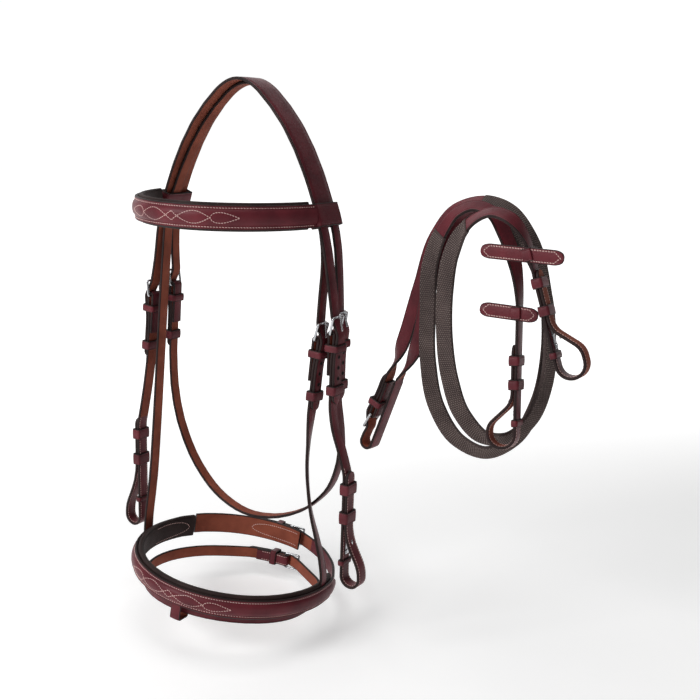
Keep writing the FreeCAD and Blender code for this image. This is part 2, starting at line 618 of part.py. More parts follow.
def free_strap(line, faces, first, last, width=REIN_WIDTH):
    return ribbon(line, faces, first, last, int(4 * (last - first)), width - 0.2, LEATHER / 2 - 0.1,
                  0.1 - LEATHER / 2)


def rein_bit_end(name):
    """The drawn end of a rein: straight down, round the bit loop and back up, on the side given by turn."""
    data = REIN_ENDS[name]
    up = Vec(*data["up"]).normalize()
    out = Vec(*data["out"])
    out = out - up * out.dot(up)
    plane = Plane(data["origin"], out, up)
    turn, loop = data["turn"], data["loop"]
    side = REIN_HOLE_R + (LEATHER if turn < 0 else 0)
    far = 2 * side * turn
    lie = 0.3 if turn > 0 else -2 * LEATHER - 0.3
    path = [(0, 0), (0, loop, side), (far, loop, side), (far, loop + 23, 16), (lie, loop + 46, 20), (lie, data["tip"])]
    body = strap(plane, path, 0.0, -LEATHER, REIN_WIDTH)
    face = 0.0 if turn > 0 else -LEATHER
    hook = Place(plane.at(face, data["hook"]), plane.u * turn, plane.v)
    body = body.cut(block(hook, (0.1, 14), (-4, 12), (-1.9, 1.9)))
    tip = Place(plane.at(lie, data["tip"]), plane.u, plane.v * -1)
    depth = (-0.15, 6) if turn > 0 else (-10, LEATHER + 0.15)
    body = point_tip(body, tip, 0.0, REIN_WIDTH / 2, depth)
    group("rein_hook_studs", hook_stud(hook))
    level = Place(plane.at(face, 0), plane.u * turn, plane.v)
    half = REIN_WIDTH / 2 + 0.2
    bands = [keeper(level, (-LEATHER - 0.2, LEATHER + 0.5), half, (at - 5, at + 5)) for at in data["keepers"]]
    bands.append(keeper(level, (-LEATHER - 0.2, 0.2), half, (data["small"] - 3.5, data["small"] + 3.5), 1.6))
    save(f"rein_billet_keepers_{name}", Part.makeCompound(bands))
    return plane, body


def rein_stop(name, plane, at, reach):
    """A pointed leather strip lying level across the rein, held by a loop round both."""
    rein = Place(plane.at(-LEATHER / 2, at), plane.w * -1, plane.u)
    level = Vec(1, 0, 0) - rein.out * rein.out.x
    half = REIN_WIDTH / 2
    strip = block(Place(rein.origin, rein.out, level), (half + 0.6, half + 3.4), reach, (-7, 7))
    for side, end in ((1, -reach[0]), (-1, reach[1])):
        strip = point_tip(strip, Place(rein.origin, rein.out, level * side), end, 7)
    ring = block(rein, (-half - 2.6, half + 5.2), (-4.4, 4.4), (-6, 6))
    ring = ring.cut(block(rein, (-half - 0.5, half + 0.5), (-2.2, 2.2), (-7, 7)))
    save(f"rein_stop_{name}", strip.fuse(ring))


def reins():
    hand = Place(HAND_BAR, HAND_OUT, HAND_UP)
    hand_plane = Plane(hand.origin, hand.out, hand.up)
    folded = FOLDED_END[:-1] + [(1.8, -52)]
    turned = [(-14, -50), (-14, 42, 8.5), (3, 42, 8.5), (3, 26)] + TAIL_END[:-1] + [(1.8 + LAYER, -48)]
    for name, route in REIN_ROUTES.items():
        body = strap(hand_plane, folded if name == "left" else turned, 0.0, -LEATHER, REIN_WIDTH)
        if name == "left":
            body = body.cut(fold_slot(hand))
            start, out = -50.0, 1.8 - LEATHER / 2
        else:
            body = point_tip(body.cut(tongue_hole(hand)), hand, 48, REIN_WIDTH / 2, (0, 30))
            start, out = -48.0, -14 + LEATHER / 2
        plane, end = rein_bit_end(name)
        points = [Vec(*p) for p in route]
        line = [hand.at(out, start + 20), hand.at(out, start)] + points + [plane.at(-1.5, -2), plane.at(-1.5, -22)]
        faces = [hand.out, hand.out] + [coil_facing(p) for p in points] + [plane.u, plane.u]
        g0, g1 = REIN_GRIPS[name]
        save(f"rein_grip_{name}", ribbon(line, faces, g0, g1, int(4 * (g1 - g0)), GRIP_WIDTH, GRIP_THICK / 2,
                                         -GRIP_THICK / 2))
        save(f"rein_hand_strap_{name}", body.fuse(free_strap(line, faces, 1, g0 - 0.01)))
        save(f"rein_bit_strap_{name}", end.fuse(free_strap(line, faces, g1 + 0.01, len(line) - 2)))
        rein_stop(name, plane, REIN_ENDS[name]["stop"], REIN_ENDS[name]["reach"])
    save("rein_buckle_frame", buckle_frame(hand, REIN_WIDTH / 2 + 1.0))
    save("rein_buckle_tongue", tongue(hand))
    half = REIN_WIDTH / 2 + 0.3
    save("rein_buckle_keeper", keeper(hand, (-FOLD_R - 0.2, FOLD_R + LAYER - 0.6), half, (-20, -12)))


crown_headpiece()
cheekpiece("left")
cheekpiece("right")
throatlatch()
sliphead()
noseband_cheek_strap()
browband()
noseband()
noseband_rear()
flash()
reins()

for name, shape in parts.items():
    if not shape.isValid() or shape.Volume <= 0:
        print("BAD", name, shape.isValid(), round(shape.Volume, 1), len(shape.Solids))
    shape.exportStep(f"parts/{name}.step")
print(len(parts), "nodes")
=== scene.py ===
import math

import bmesh
import bpy
from mathutils import Matrix, Vector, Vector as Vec


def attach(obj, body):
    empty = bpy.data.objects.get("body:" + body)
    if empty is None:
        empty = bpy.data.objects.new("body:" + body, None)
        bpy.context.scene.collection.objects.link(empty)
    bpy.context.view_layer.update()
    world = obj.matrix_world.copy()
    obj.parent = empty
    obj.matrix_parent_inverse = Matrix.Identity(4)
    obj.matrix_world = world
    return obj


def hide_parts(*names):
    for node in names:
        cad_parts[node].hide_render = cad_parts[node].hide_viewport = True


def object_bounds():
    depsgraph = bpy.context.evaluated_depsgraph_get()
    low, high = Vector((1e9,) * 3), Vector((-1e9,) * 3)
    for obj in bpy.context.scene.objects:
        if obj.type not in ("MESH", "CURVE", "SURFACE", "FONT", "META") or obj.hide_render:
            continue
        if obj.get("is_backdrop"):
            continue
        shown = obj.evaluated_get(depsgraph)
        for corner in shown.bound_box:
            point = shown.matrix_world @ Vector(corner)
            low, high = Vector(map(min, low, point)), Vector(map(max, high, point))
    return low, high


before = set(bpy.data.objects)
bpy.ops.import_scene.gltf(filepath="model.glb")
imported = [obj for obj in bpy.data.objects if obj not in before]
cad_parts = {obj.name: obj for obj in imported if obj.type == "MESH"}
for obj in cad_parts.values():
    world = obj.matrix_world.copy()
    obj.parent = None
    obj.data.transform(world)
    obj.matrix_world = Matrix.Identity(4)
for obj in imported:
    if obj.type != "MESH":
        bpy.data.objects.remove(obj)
cad_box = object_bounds()

# The visual model of a snaffle bridle. The straps follow the same lines as the CAD part, in
# millimetres here and in metres in the meshes.

# ---- the CAD part's dimensions ----
LEATHER = 3.0  # thickness of a strap
GAP = 0.3  # play between two layers
WIRE = 2.5  # wire of a buckle frame
BAR_R = WIRE / 2
FOLD_R = BAR_R + 0.25 + LEATHER  # grain face of a strap folded round its bar
BUCKLE_RISE = 17.0  # from the bar up to the frame's top
TURN_BACK = 42.0  # length of the folded-back end, stitched to the strap
TAIL_BELOW = 72.0  # length of a tail below its bar
CHEEK_WIDTH = 14.0
THROAT_WIDTH = 12.0
SLIP_WIDTH = 13.0
CROWN_Y = (-18.0, -4.0, 3.5, 15.5)  # the front tail's two edges, then the rear tail's
CHEEK_Y = -11.0
THROAT_Y = 9.5
CROWN_GRAIN = 6.6  # height of the crown's grain face over the poll
BILLET_HOLE_R = 9.0  # inside radius of the loop that holds the bit ring
BILLET_TIP = -380.0
BROWBAND_Z = -126.0
BROWBAND_HALF = 102.0  # half its width at the horse's temples
BROWBAND_DEPTH = 119.0  # from the temples forward to the middle of the forehead
BROWBAND_HEIGHT = 23.0
NOSE_R = 112.0  # outside radius of the noseband
NOSE_ORIGIN = (-3.5, -9.75, -521.5)
NOSE_SLOPE = -0.09  # the noseband falls this much to the rear
NOSE_ROLL = -0.095  # and this much to the near side
NOSE_HEIGHT = 20.0
PADDING = 6.0  # thickness of the noseband's padding
CHIN_WIDTH = 24.0
FLASH_R = 101.0
FLASH_DROP = 23.0  # how far the flash strap's ring hangs below the noseband's middle
FLASH_SLOPE = -0.1485
FLASH_ROLL = -0.03
FLASH_WIDTH = 13.0
REIN_WIDTH = 16.0
GRIP_WIDTH = 18.0
GRIP_THICK = 4.6

LAYER = GAP + LEATHER

SCALE = 0.001  # millimetres to metres


# ---- lines and planes, as in the CAD part ----
def corners_of(path):
    found = []
    for before, here, after in zip(path, path[1:], path[2:]):
        first = math.dist(before[:2], here[:2])
        second = math.dist(here[:2], after[:2])
        d1 = ((here[0] - before[0]) / first, (here[1] - before[1]) / first)
        d2 = ((after[0] - here[0]) / second, (after[1] - here[1]) / second)
        turn = math.atan2(d1[0] * d2[1] - d1[1] * d2[0], d1[0] * d2[0] + d1[1] * d2[1])
        reach = math.tan(abs(turn) / 2)
        radius = here[2] if len(here) > 2 else 0.45 * min(first, second) / reach
        back = radius * reach
        start = (here[0] - d1[0] * back, here[1] - d1[1] * back)
        side = math.copysign(radius, turn)
        centre = (start[0] - d1[1] * side, start[1] + d1[0] * side)
        found.append((start, centre, turn, d1, d2))
    return found


def trace(path, step=4.0, bend=8.0):
    """Points along a path of straight runs and tangent arcs, each with its left-hand normal."""
    points = []

    def run(a, b, d):
        count = max(1, math.ceil(math.dist(a, b) / step))
        for k in range(count):
            t = k / count
            points.append((a[0] + (b[0] - a[0]) * t, a[1] + (b[1] - a[1]) * t, -d[1], d[0]))

    first = math.dist(path[0][:2], path[1][:2])
    d = ((path[1][0] - path[0][0]) / first, (path[1][1] - path[0][1]) / first)
    here = path[0][:2]
    for start, centre, turn, d, d2 in corners_of(path):
        if math.dist(here, start) > 1e-4:
            run(here, start, d)
        spoke = (start[0] - centre[0], start[1] - centre[1])
        count = max(2, math.ceil(abs(math.degrees(turn)) / bend))
        for k in range(count + 1):
            c, s = math.cos(turn * k / count), math.sin(turn * k / count)
            here = (centre[0] + spoke[0] * c - spoke[1] * s, centre[1] + spoke[0] * s + spoke[1] * c)
            if k < count:
                points.append((here[0], here[1], -(d[0] * s + d[1] * c), d[0] * c - d[1] * s))
        d = d2
    end = path[-1][:2]
    run(here, end, d)
    points.append((end[0], end[1], -d[1], d[0]))
    return points


class Plane:
    def __init__(self, origin, u, v):
        self.origin = Vec(origin)
        self.u = Vec(u).normalized()
        self.v = (Vec(v) - self.u * self.u.dot(Vec(v))).normalized()
        self.w = self.v.cross(self.u)

    def at(self, u, v, w=0.0):
        return self.origin + self.u * u + self.v * v + self.w * w


class Place:
    def __init__(self, origin, out, up):
        self.origin = Vec(origin)
        self.out = Vec(out).normalized()
        self.up = (Vec(up) - self.out * self.out.dot(Vec(up))).normalized()
        self.across = self.up.cross(self.out)

    def at(self, out, up, across=0.0):
        return self.origin + self.out * out + self.up * up + self.across * across


def spline(points, t):
    i = min(int(t), len(points) - 2)
    t -= i
    p1, p2 = points[i], points[i + 1]
    p0 = points[i - 1] if i > 0 else p1 * 2 - p2
    p3 = points[i + 2] if i + 2 < len(points) else p2 * 2 - p1
    a = max((p1 - p0).length, 1e-6)
    b = max((p2 - p1).length, 1e-6)
    c = max((p3 - p2).length, 1e-6)
    m1 = ((p1 - p0) / a - (p2 - p0) / (a + b) + (p2 - p1) / b) * b
    m2 = ((p2 - p1) / b - (p3 - p1) / (b + c) + (p3 - p2) / c) * b
    return (p1 * (2 * t ** 3 - 3 * t ** 2 + 1) + m1 * (t ** 3 - 2 * t ** 2 + t)
            + p2 * (3 * t ** 2 - 2 * t ** 3) + m2 * (t ** 3 - t ** 2))


def hung(bar, lean):
    c, s = math.cos(math.radians(lean)), math.sin(math.radians(lean))

    def to_plane(*points):
        return [(bar[0] + p[0] * c - p[1] * s, bar[1] + p[0] * s + p[1] * c) + tuple(p[2:])
                for p in points]
    return to_plane


def bar_place(plane, bar, lean):
    c, s = math.cos(math.radians(lean)), math.sin(math.radians(lean))
    return Place(plane.at(*bar), plane.u * c + plane.v * s, plane.v * c - plane.u * s)


def side_plane(side, y):
    return Plane((0, y, 0), (side, 0, 0), (0, 0, 1))


# ---- stations of a strap: grain side middle, flesh side middle, across, width ----
class Station:
    def __init__(self, grain, flesh, across, width):
        self.grain, self.flesh, self.across, self.width = grain, flesh, across, width
        self.face = (grain - flesh).normalized()


def flat_stations(plane, path, grain, flesh, width, centre=0.0):
    found = []
    for u, v, nu, nv in trace(path):
        found.append(Station(plane.at(u + nu * grain, v + nv * grain, centre),
                             plane.at(u + nu * flesh, v + nv * flesh, centre), plane.w.copy(), width))
    return found


def ribbon_stations(points, facings, start, end, width, thick, step=0.14):
    found = []
    count = int((end - start) / step)
    for k in range(count + 1):
        t = start + (end - start) * k / count
        here = spline(points, t)
        ahead = spline(points, min(t + 0.02, len(points) - 1))
        along = (ahead - spline(points, max(t - 0.02, 0))).normalized()
        i = min(int(t), len(facings) - 2)
        face = facings[i] * (1 - t + i) + facings[i + 1] * (t - i)
        face = (face - along * face.dot(along)).normalized()
        across = along.cross(face)
        found.append(Station(here + face * thick / 2, here - face * thick / 2, across, width))
    return found


def aligned(stations, first):
    """Turns the stations so that their across follows on from first."""
    for station in stations:
        if station.across.dot(first) < 0:
            station.across.negate()
        first = station.across
    return stations


def lengths(stations):
    total = [0.0]
    for a, b in zip(stations, stations[1:]):
        total.append(total[-1] + (b.grain - a.grain).length)
    return total


def tapered(stations, at_end=True, length=None):
    """Narrows the first or the last stations to a rounded point."""
    total = lengths(stations)
    length = length or stations[0].width * 0.55
    cut = list(stations)
    for k, station in enumerate(stations):
        left = total[-1] - total[k] if at_end else total[k]
        if left < length:
            part = max(left / length, 0.0)
            width = station.width * (0.3 + 0.7 * math.sqrt(1 - (1 - part) ** 2))
            cut[k] = Station(station.grain, station.flesh, station.across, width)
    return cut


def refined(stations, at_end=True, length=12.0, count=8):
    """More stations near one end, for a smooth tip."""
    total = lengths(stations)
    found = []
    for k, station in enumerate(stations):
        left = total[-1] - total[k] if at_end else total[k]
        if left > length:
            found.append(station)
    marks = [length * j / count for j in range(count + 1)]
    extra = [station_at(stations, total, total[-1] - m if at_end else m) for m in marks]
    return found + extra[::-1] if at_end else extra + found


def pointed(stations):
    """A strap whose last end is cut to a rounded point."""
    return tapered(refined(stations))


def station_at(stations, total, s):
    s = min(max(s, 0.0), total[-1])
    k = 0
    while k < len(total) - 2 and total[k + 1] < s:
        k += 1
    span = max(total[k + 1] - total[k], 1e-9)
    t = min(max((s - total[k]) / span, 0.0), 1.0)
    a, b = stations[k], stations[k + 1]
    across = (a.across * (1 - t) + b.across * t).normalized()
    width = a.width * (1 - t) + b.width * t
    return Station(a.grain.lerp(b.grain, t), a.flesh.lerp(b.flesh, t), across, width)


# ---- materials ----
def node_of(tree, kind, **inputs):
    node = tree.nodes.new(kind)
    for name, value in inputs.items():
        node.inputs[name.replace("_", " ")].default_value = value
    return node


def surface(name, colour, second, rough, grain_scale, bump, metallic=0.0, coat=0.0, specular=0.17):
    """A surface whose colour drifts between two tones, with fine grain in its height and its gloss."""
    material = bpy.data.materials.new(name)
    material.use_nodes = True
    tree = material.node_tree
    tree.nodes.clear()
    out = tree.nodes.new("ShaderNodeOutputMaterial")
    shader = node_of(tree, "ShaderNodeBsdfPrincipled", Roughness=rough, Metallic=metallic, Coat_Weight=coat,
                     Specular_IOR_Level=specular, Coat_Roughness=0.25)
    where = tree.nodes.new("ShaderNodeTexCoord")
    patches = node_of(tree, "ShaderNodeTexNoise", Scale=38.0, Detail=4.0, Roughness=0.55)
    ramp = tree.nodes.new("ShaderNodeValToRGB")
    ramp.color_ramp.elements[0].position = 0.25
    ramp.color_ramp.elements[1].position = 0.75
    ramp.color_ramp.elements[0].color = (*colour, 1)
    ramp.color_ramp.elements[1].color = (*second, 1)
    fine = node_of(tree, "ShaderNodeTexNoise", Scale=grain_scale, Detail=3.0, Roughness=0.6)
    cells = node_of(tree, "ShaderNodeTexVoronoi", Scale=grain_scale * 0.55)
    mix = node_of(tree, "ShaderNodeMath")
    mix.operation = "ADD"
    height = node_of(tree, "ShaderNodeBump", Strength=bump, Distance=0.0004)
    gloss = node_of(tree, "ShaderNodeMapRange")
    gloss.inputs["To Min"].default_value = max(rough - 0.1, 0.02)
    gloss.inputs["To Max"].default_value = min(rough + 0.14, 1.0)
    link = tree.links.new
    for texture in (patches, fine, cells):
        link(where.outputs["Object"], texture.inputs["Vector"])
    link(patches.outputs["Fac"], ramp.inputs["Fac"])
    link(ramp.outputs["Color"], shader.inputs["Base Color"])
    link(fine.outputs["Fac"], mix.inputs[0])
    link(cells.outputs["Distance"], mix.inputs[1])
    link(mix.outputs["Value"], height.inputs["Height"])
    link(height.outputs["Normal"], shader.inputs["Normal"])
    link(patches.outputs["Fac"], gloss.inputs["Value"])
    link(gloss.outputs["Result"], shader.inputs["Roughness"])
    link(shader.outputs["BSDF"], out.inputs["Surface"])
    return material


def tone(r, g, b):
    """A colour from its sRGB values, 0 to 255."""
    return tuple(((c / 255 + 0.055) / 1.055) ** 2.4 if c > 10 else c / 3295 for c in (r, g, b))


LOOKS = {
    "grain": surface("oxblood_grain", tone(107, 40, 48), tone(73, 26, 33), 0.4, 1500, 0.35, coat=0.06),
    "flesh": surface("tan_flesh", tone(149, 80, 60), tone(112, 57, 44), 0.75, 1900, 0.6),
    "edge": surface("dark_edge", tone(48, 32, 31), tone(30, 21, 21), 0.5, 1200, 0.3),
    "padding": surface("dark_padding", tone(52, 37, 35), tone(34, 24, 23), 0.6, 1300, 0.45),
    "thread": surface("cream_thread", tone(226, 196, 188), tone(200, 160, 156), 0.7, 2500, 0.3),
    # hole: near-black colour for the disc in each punched hole, painted shade in place of an opening cut
    # through
    "hole": surface("hole_painted_shade", tone(20, 12, 12), tone(12, 8, 8), 0.9, 900, 0.2),
    "rubber": surface("rein_rubber", tone(78, 66, 64), tone(57, 48, 47), 0.78, 1700, 0.5),
    # pimple: a lighter tone for the rubber domes, a painted highlight standing in for the light that
    # catches their tops
    "pimple": surface("rubber_pimple_highlight", tone(138, 124, 118), tone(108, 95, 91), 0.7, 1700, 0.4),
    "steel": surface("polished_steel", tone(205, 206, 208), tone(182, 184, 188), 0.2, 700, 0.06, 1.0,
                     specular=0.5),
}
SLOTS = list(LOOKS)


# ---- meshes ----
class Build:
    """Collects the faces of one visual piece."""

    def __init__(self):
        self.points = []
        self.faces = []
        self.looks = []

    def point(self, p):
        self.points.append(p * SCALE)
        return len(self.points) - 1

    def face(self, corners, look):
        self.faces.append(corners)
        self.looks.append(SLOTS.index(look))

    def rows(self, rows, looks, closed=False, lined=()):
        """Skins rows of points, each a closed ring; looks gives each side of the ring its surface,
        and between the rows numbered in lined the flesh side is finished like the grain."""
        ids = [[self.point(p) for p in row] for row in rows]
        count = len(rows[0])
        for n, (a, b) in enumerate(zip(ids, ids[1:])):
            for k in range(count):
                j = (k + 1) % count
                look = "grain" if n in lined and looks[k] == "flesh" else looks[k]
                self.face((a[k], a[j], b[j], b[k]), look)
        if not closed:
            self.face(tuple(ids[0][::-1]), "edge")
            self.face(tuple(ids[-1]), "edge")

    def done(self, name, node, body="headstall"):
        """Makes the piece, which rides on body and stands for node."""
        mesh = bpy.data.meshes.new(name)
        mesh.from_pydata([tuple(p) for p in self.points], [], self.faces)
        for slot_name in SLOTS:
            mesh.materials.append(LOOKS[slot_name])
        mesh.polygons.foreach_set("material_index", self.looks)
        mesh.update()
        work = bmesh.new()
        work.from_mesh(mesh)
        bmesh.ops.recalc_face_normals(work, faces=work.faces)
        work.to_mesh(mesh)
        work.free()
        mesh.polygons.foreach_set("use_smooth", [True] * len(mesh.polygons))
        mesh.set_sharp_from_angle(angle=math.radians(38))
        piece = bpy.data.objects.new(name, mesh)
        bpy.context.scene.collection.objects.link(piece)
        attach(piece, body)
        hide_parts(node)
        return piece


# Crowns of a strap's grain side: (share of the half width, height), from edge to edge.
PLAIN = [(-0.55, 0.12), (0.0, 0.22), (0.55, 0.12)]
RAISED = [(-0.66, 0.0), (-0.58, 0.9), (-0.44, 2.0), (-0.2, 2.6), (0.0, 2.7), (0.2, 2.6), (0.44, 2.0),
          (0.58, 0.9), (0.66, 0.0)]
FLAT = [(-0.5, 0.0), (0.0, 0.0), (0.5, 0.0)]
PUFFED = [(-0.6, 0.3), (-0.3, 0.5), (0.0, 0.55), (0.3, 0.5), (0.6, 0.3)]


def outline(width, thick, crown, soft):
    """A strap's section: (x, depth, surface) round from the grain side's left edge."""
    half = width / 2
    r = min(soft, thick * 0.46, half * 0.5)
    crease = half - min(2.1, half * 0.3)
    dip = min(0.22, r * 0.4) if soft < 1.5 else 0.0
    points = [(-half + r, 0.0, "grain"), (-crease - 0.3, 0.0, "grain"), (-crease, dip, "grain"),
              (-crease + 0.3, 0.0, "grain")]
    points += [(x * half, -h, "grain") for x, h in crown]
    points += [(crease - 0.3, 0.0, "grain"), (crease, dip, "grain"), (crease + 0.3, 0.0, "grain"),
               (half - r, 0.0, "edge")]
    for k in (1, 2, 3):
        a = math.radians(30 * k)
        points.append((half - r + r * math.sin(a), r - r * math.cos(a), "edge"))
    for k in (0, 1, 2):
        a = math.radians(30 * k)
        points.append((half - r + r * math.cos(a), thick - r + r * math.sin(a), "edge"))
    points += [(half - r, thick, "flesh"), (0.0, thick, "flesh"), (-half + r, thick, "edge")]
    for k in (1, 2, 3):
        a = math.radians(30 * k)
        points.append((-half + r - r * math.sin(a), thick - r + r * math.cos(a), "edge"))
    for k in (0, 1, 2):
        a = math.radians(30 * k)
        points.append((-half + r - r * math.cos(a), r - r * math.sin(a), "edge"))
    return points


def leather(build, stations, crown=PLAIN, soft=0.9, look=None, closed=False, lined=()):
    rows = []
    sides = None
    for station in stations:
        thick = (station.grain - station.flesh).length
        section = outline(station.width, thick, crown, soft)
        rows.append([station.grain - station.face * d + station.across * x for x, d, _ in section])
        sides = [s for _, _, s in section]
    if look:
        sides = [look] * len(sides)
    build.rows(rows, sides, closed, lined)


def height_at(crown, x):
    knots = [(-1.0, 0.0), *crown, (1.0, 0.0)]
    for (x0, h0), (x1, h1) in zip(knots, knots[1:]):
        if x0 <= x <= x1:
            return h0 + (h1 - h0) * (x - x0) / max(x1 - x0, 1e-9)
    return 0.0


def on_strap(stations, total, s, x, crown=PLAIN, inner=False):
    """A point on a strap's surface, s along it and x across, with the surface's normal."""
    st = station_at(stations, total, s)
    if inner:
        return st.flesh + st.across * x, -st.face
    return st.grain + st.across * x + st.face * height_at(crown, x / (st.width / 2)), st.face


STITCH = 1.9  # length of a stitch


def sew(build, curve, pitch=2.8, thick=0.35):
    """Stitches along a curve of (point, normal)."""
    total = [0.0]
    for (a, _), (b, _) in zip(curve, curve[1:]):
        total.append(total[-1] + (b - a).length)
    count = int(total[-1] / pitch)
    k = 0
    for n in range(count):
        s = (n + 0.5) * total[-1] / count
        while k < len(total) - 2 and total[k + 1] < s:
            k += 1
        t = (s - total[k]) / max(total[k + 1] - total[k], 1e-9)
        here = curve[k][0].lerp(curve[k + 1][0], t)
        along = (curve[k + 1][0] - curve[k][0]).normalized()
        normal = curve[k][1]
        across = along.cross(normal).normalized()
        along = (along + across * 0.12).normalized()
        rows = []
        for part, size in ((-0.5, 0.45), (-0.3, 1.0), (0.3, 1.0), (0.5, 0.45)):
            middle = here + along * (STITCH * part)
            side = across * (thick * size)
            rows.append([middle + side, middle + normal * (0.3 * size), middle - side,
                         middle - normal * 0.2])
        build.rows(rows, ["thread"] * 4, closed=True)


def sewn_row(build, stations, x, start, end, crown=PLAIN, inner=False):
    """A row x off the middle line; an end of 0 or less counts back from the strap's end."""
    total = lengths(stations)
    end = total[-1] + end if end <= 0 else end
    count = max(2, int((end - start) / 3))
    sew(build, [on_strap(stations, total, start + (end - start) * k / count, x, crown, inner)
                for k in range(count + 1)])


def sewn_shape(build, stations, shape, crown=PLAIN, inner=False):
    """Stitches along a drawn line of (s, x)."""
    total = lengths(stations)
    curve = []
    for (s0, x0), (s1, x1) in zip(shape, shape[1:]):
        count = max(1, int(math.hypot(s1 - s0, x1 - x0) / 1.5))
        for k in range(count):
            t = k / count
            at = (s0 + (s1 - s0) * t, x0 + (x1 - x0) * t)
            curve.append(on_strap(stations, total, *at, crown, inner))
    curve.append(on_strap(stations, total, *shape[-1], crown, inner))
    sew(build, curve, 2.6, 0.36)


def punched(build, stations, marks, radius=1.5, inner=False):
    """Round holes with a pressed rim; each hole is closed by a near-black disc, painted shade standing in
    for the dark inside of the hole.
    """
    turns = [math.tau * k / 14 for k in range(14)]
    total = lengths(stations)
    for s in marks:
        s = total[-1] + s if s < 0 else s
        centre, normal = on_strap(stations, total, s, 0.0, inner=inner)
        st = station_at(stations, total, s)
        along = st.across.cross(normal)
        rings = []
        for more, lift in ((0.75, -0.1), (0.45, 0.2), (0, 0.2), (-0.15, 0.03)):
            rings.append([centre + normal * lift
                          + (st.across * math.cos(a) + along * math.sin(a)) * (radius + more)
                          for a in turns])
        ids = [[build.point(p) for p in ring] for ring in rings]
        for a, b in zip(ids, ids[1:]):
            for k in range(14):
                build.face((a[k], a[(k + 1) % 14], b[(k + 1) % 14], b[k]), "edge")
        build.face(tuple(ids[-1]), "hole")


def band(build, place, out, half, up, wall=2.0, soft=0.8):
    """A leather keeper round a stack of straps."""
    plane = Plane(place.at(0, (up[0] + up[1]) / 2), place.out, place.across)
    lo, hi = out[0] - wall, out[1] + wall
    side = half + wall
    middle = (lo + hi) / 2
    r = min(2.4, wall + 0.6)
    path = [(middle, side), (hi, side, r), (hi, -side, r), (lo, -side, r), (lo, side, r), (middle, side)]
    leather(build, flat_stations(plane, path, 0.0, -wall, up[1] - up[0]), soft=soft, closed=True)


# ---- the straps' lines, as in the CAD part ----
# Outline of a strap's buckle end and of the tail over it, out and up from the bar.
FOLDED_END = [(-FOLD_R, -TURN_BACK), (-FOLD_R, FOLD_R, FOLD_R), (FOLD_R, FOLD_R, FOLD_R), (FOLD_R, -8),
              (1.8, -24), (1.8, -TAIL_BELOW - 4, 60)]
TAIL_END = [(1.3, BUCKLE_RISE, 10), (FOLD_R + LAYER + 1.0, 0), (FOLD_R + LAYER, -7.5), (1.8 + LAYER, -24),
            (1.8 + LAYER, -TAIL_BELOW)]
SIDES = {
    "left": {"side": 1, "cheek_bar": (121.5, -241), "cheek_lean": 0.0,
             "throat_bar": (113.5, -241), "throat_lean": 0.0,
             "cheek": [(126.5, -338), (135.5, -360), (143, -383, 30)], "billet": 143.0, "loop": -492,
             "front": [(117, -188)], "rear": [(112.5, -182)]},
    "right": {"side": -1, "cheek_bar": (120.5, -233), "cheek_lean": 5.0,
              "throat_bar": (108, -222), "throat_lean": 3.0,
              "cheek": [(133.5, -336), (138.5, -360), (144.5, -386, 30)], "billet": 144.5, "loop": -501,
              "front": [(114.5, -190)], "rear": [(110, -178)]},
}
CROWN_LEG = [(9, CROWN_GRAIN), (45, -21.5), (76, -63), (98, -114), (108.5, -144)]


def billet_end(place_x, loop):
    """The cheekpiece's end: down, round the bit loop and back up outside itself."""
    far = place_x + 2 * BILLET_HOLE_R
    low = loop - BILLET_HOLE_R
    return [(place_x, low, BILLET_HOLE_R), (far, low, BILLET_HOLE_R), (far, loop + 10),
            (place_x + GAP, -451), (place_x + GAP, BILLET_TIP)]


def crown_half(name, tail):
    """One end of the crown, from its tail's tip up to the leg that both tails share."""
    data = SIDES[name]
    kind = "cheek" if tail == "front" else "throat"
    end = hung(data[kind + "_bar"], data[kind + "_lean"])(*TAIL_END)
    return end[::-1] + data[tail][::-1] + CROWN_LEG[::-1]


THROAT_BOTTOM = [(120.5, -346), (122, -376), (111, -412), (80, -445), (38, -465), (-6, -471), (-48, -456),
                 (-82, -423), (-104, -380), (-113, -338)]
SLANT = 0.0646
SLIP_PLANE = Plane((0, 3, 0), (1, 0, 0), (0, SLANT, 1))
SLIP_BAR = (104.0, -250.0)
SLIP_LEAN = -3.0
SLIP_RIGHT = [(118.6, -519), (118.6, -490), (113, -440), (110.6, -370), (109, -300), (107.5, -235),
              (105.5, -178)]
SLIP_LEG = [(8, 3.0), (42, -24.4), (72.6, -65.5), (94.2, -115.5), (104.4, -145)]
SLIP_LEFT = [(108, -172), (106.5, -208)]


def polar(radius, degrees, *rest):
    a = math.radians(degrees)
    return (radius * math.cos(a), radius * math.sin(a)) + rest


def arc_path(radius, start, end, count):
    """An arc as sides that all touch it."""
    step = (end - start) / count
    corner = radius / math.cos(math.radians(step / 2))
    corners = [polar(corner, start + (k + 0.5) * step) for k in range(count)]
    return [polar(radius, start)] + corners + [polar(radius, end)]


NOSE = Plane(NOSE_ORIGIN, (1, 0, NOSE_ROLL), (0, 1, NOSE_SLOPE))
FLASH = Plane((NOSE_ORIGIN[0], NOSE_ORIGIN[1], NOSE_ORIGIN[2] - FLASH_DROP), (1, 0, FLASH_ROLL),
              (0, 1, FLASH_SLOPE))
LOOP_AT = polar(NOSE_R - LEATHER / 2, -84.3)
LOOP_PLACE = Place(NOSE.at(*LOOP_AT), NOSE.at(*LOOP_AT) - NOSE.origin, NOSE.w * -1)
TUCK_AT = polar(NOSE_R - LEATHER, 8.3)  # where the sliphead's near strap is sewn in behind the face
TUCK_PLACE = Place(NOSE.at(*TUCK_AT), NOSE.at(*TUCK_AT) - NOSE.origin, NOSE.w * -1)


def ring_place(plane, radius, degrees):
    """A bar's place on a ring; up points back along the ring towards smaller angles."""
    a = math.radians(degrees)
    out = plane.u * math.cos(a) + plane.v * math.sin(a)
    return Place(plane.at(*polar(radius, degrees)), out, plane.u * math.sin(a) - plane.v * math.cos(a))


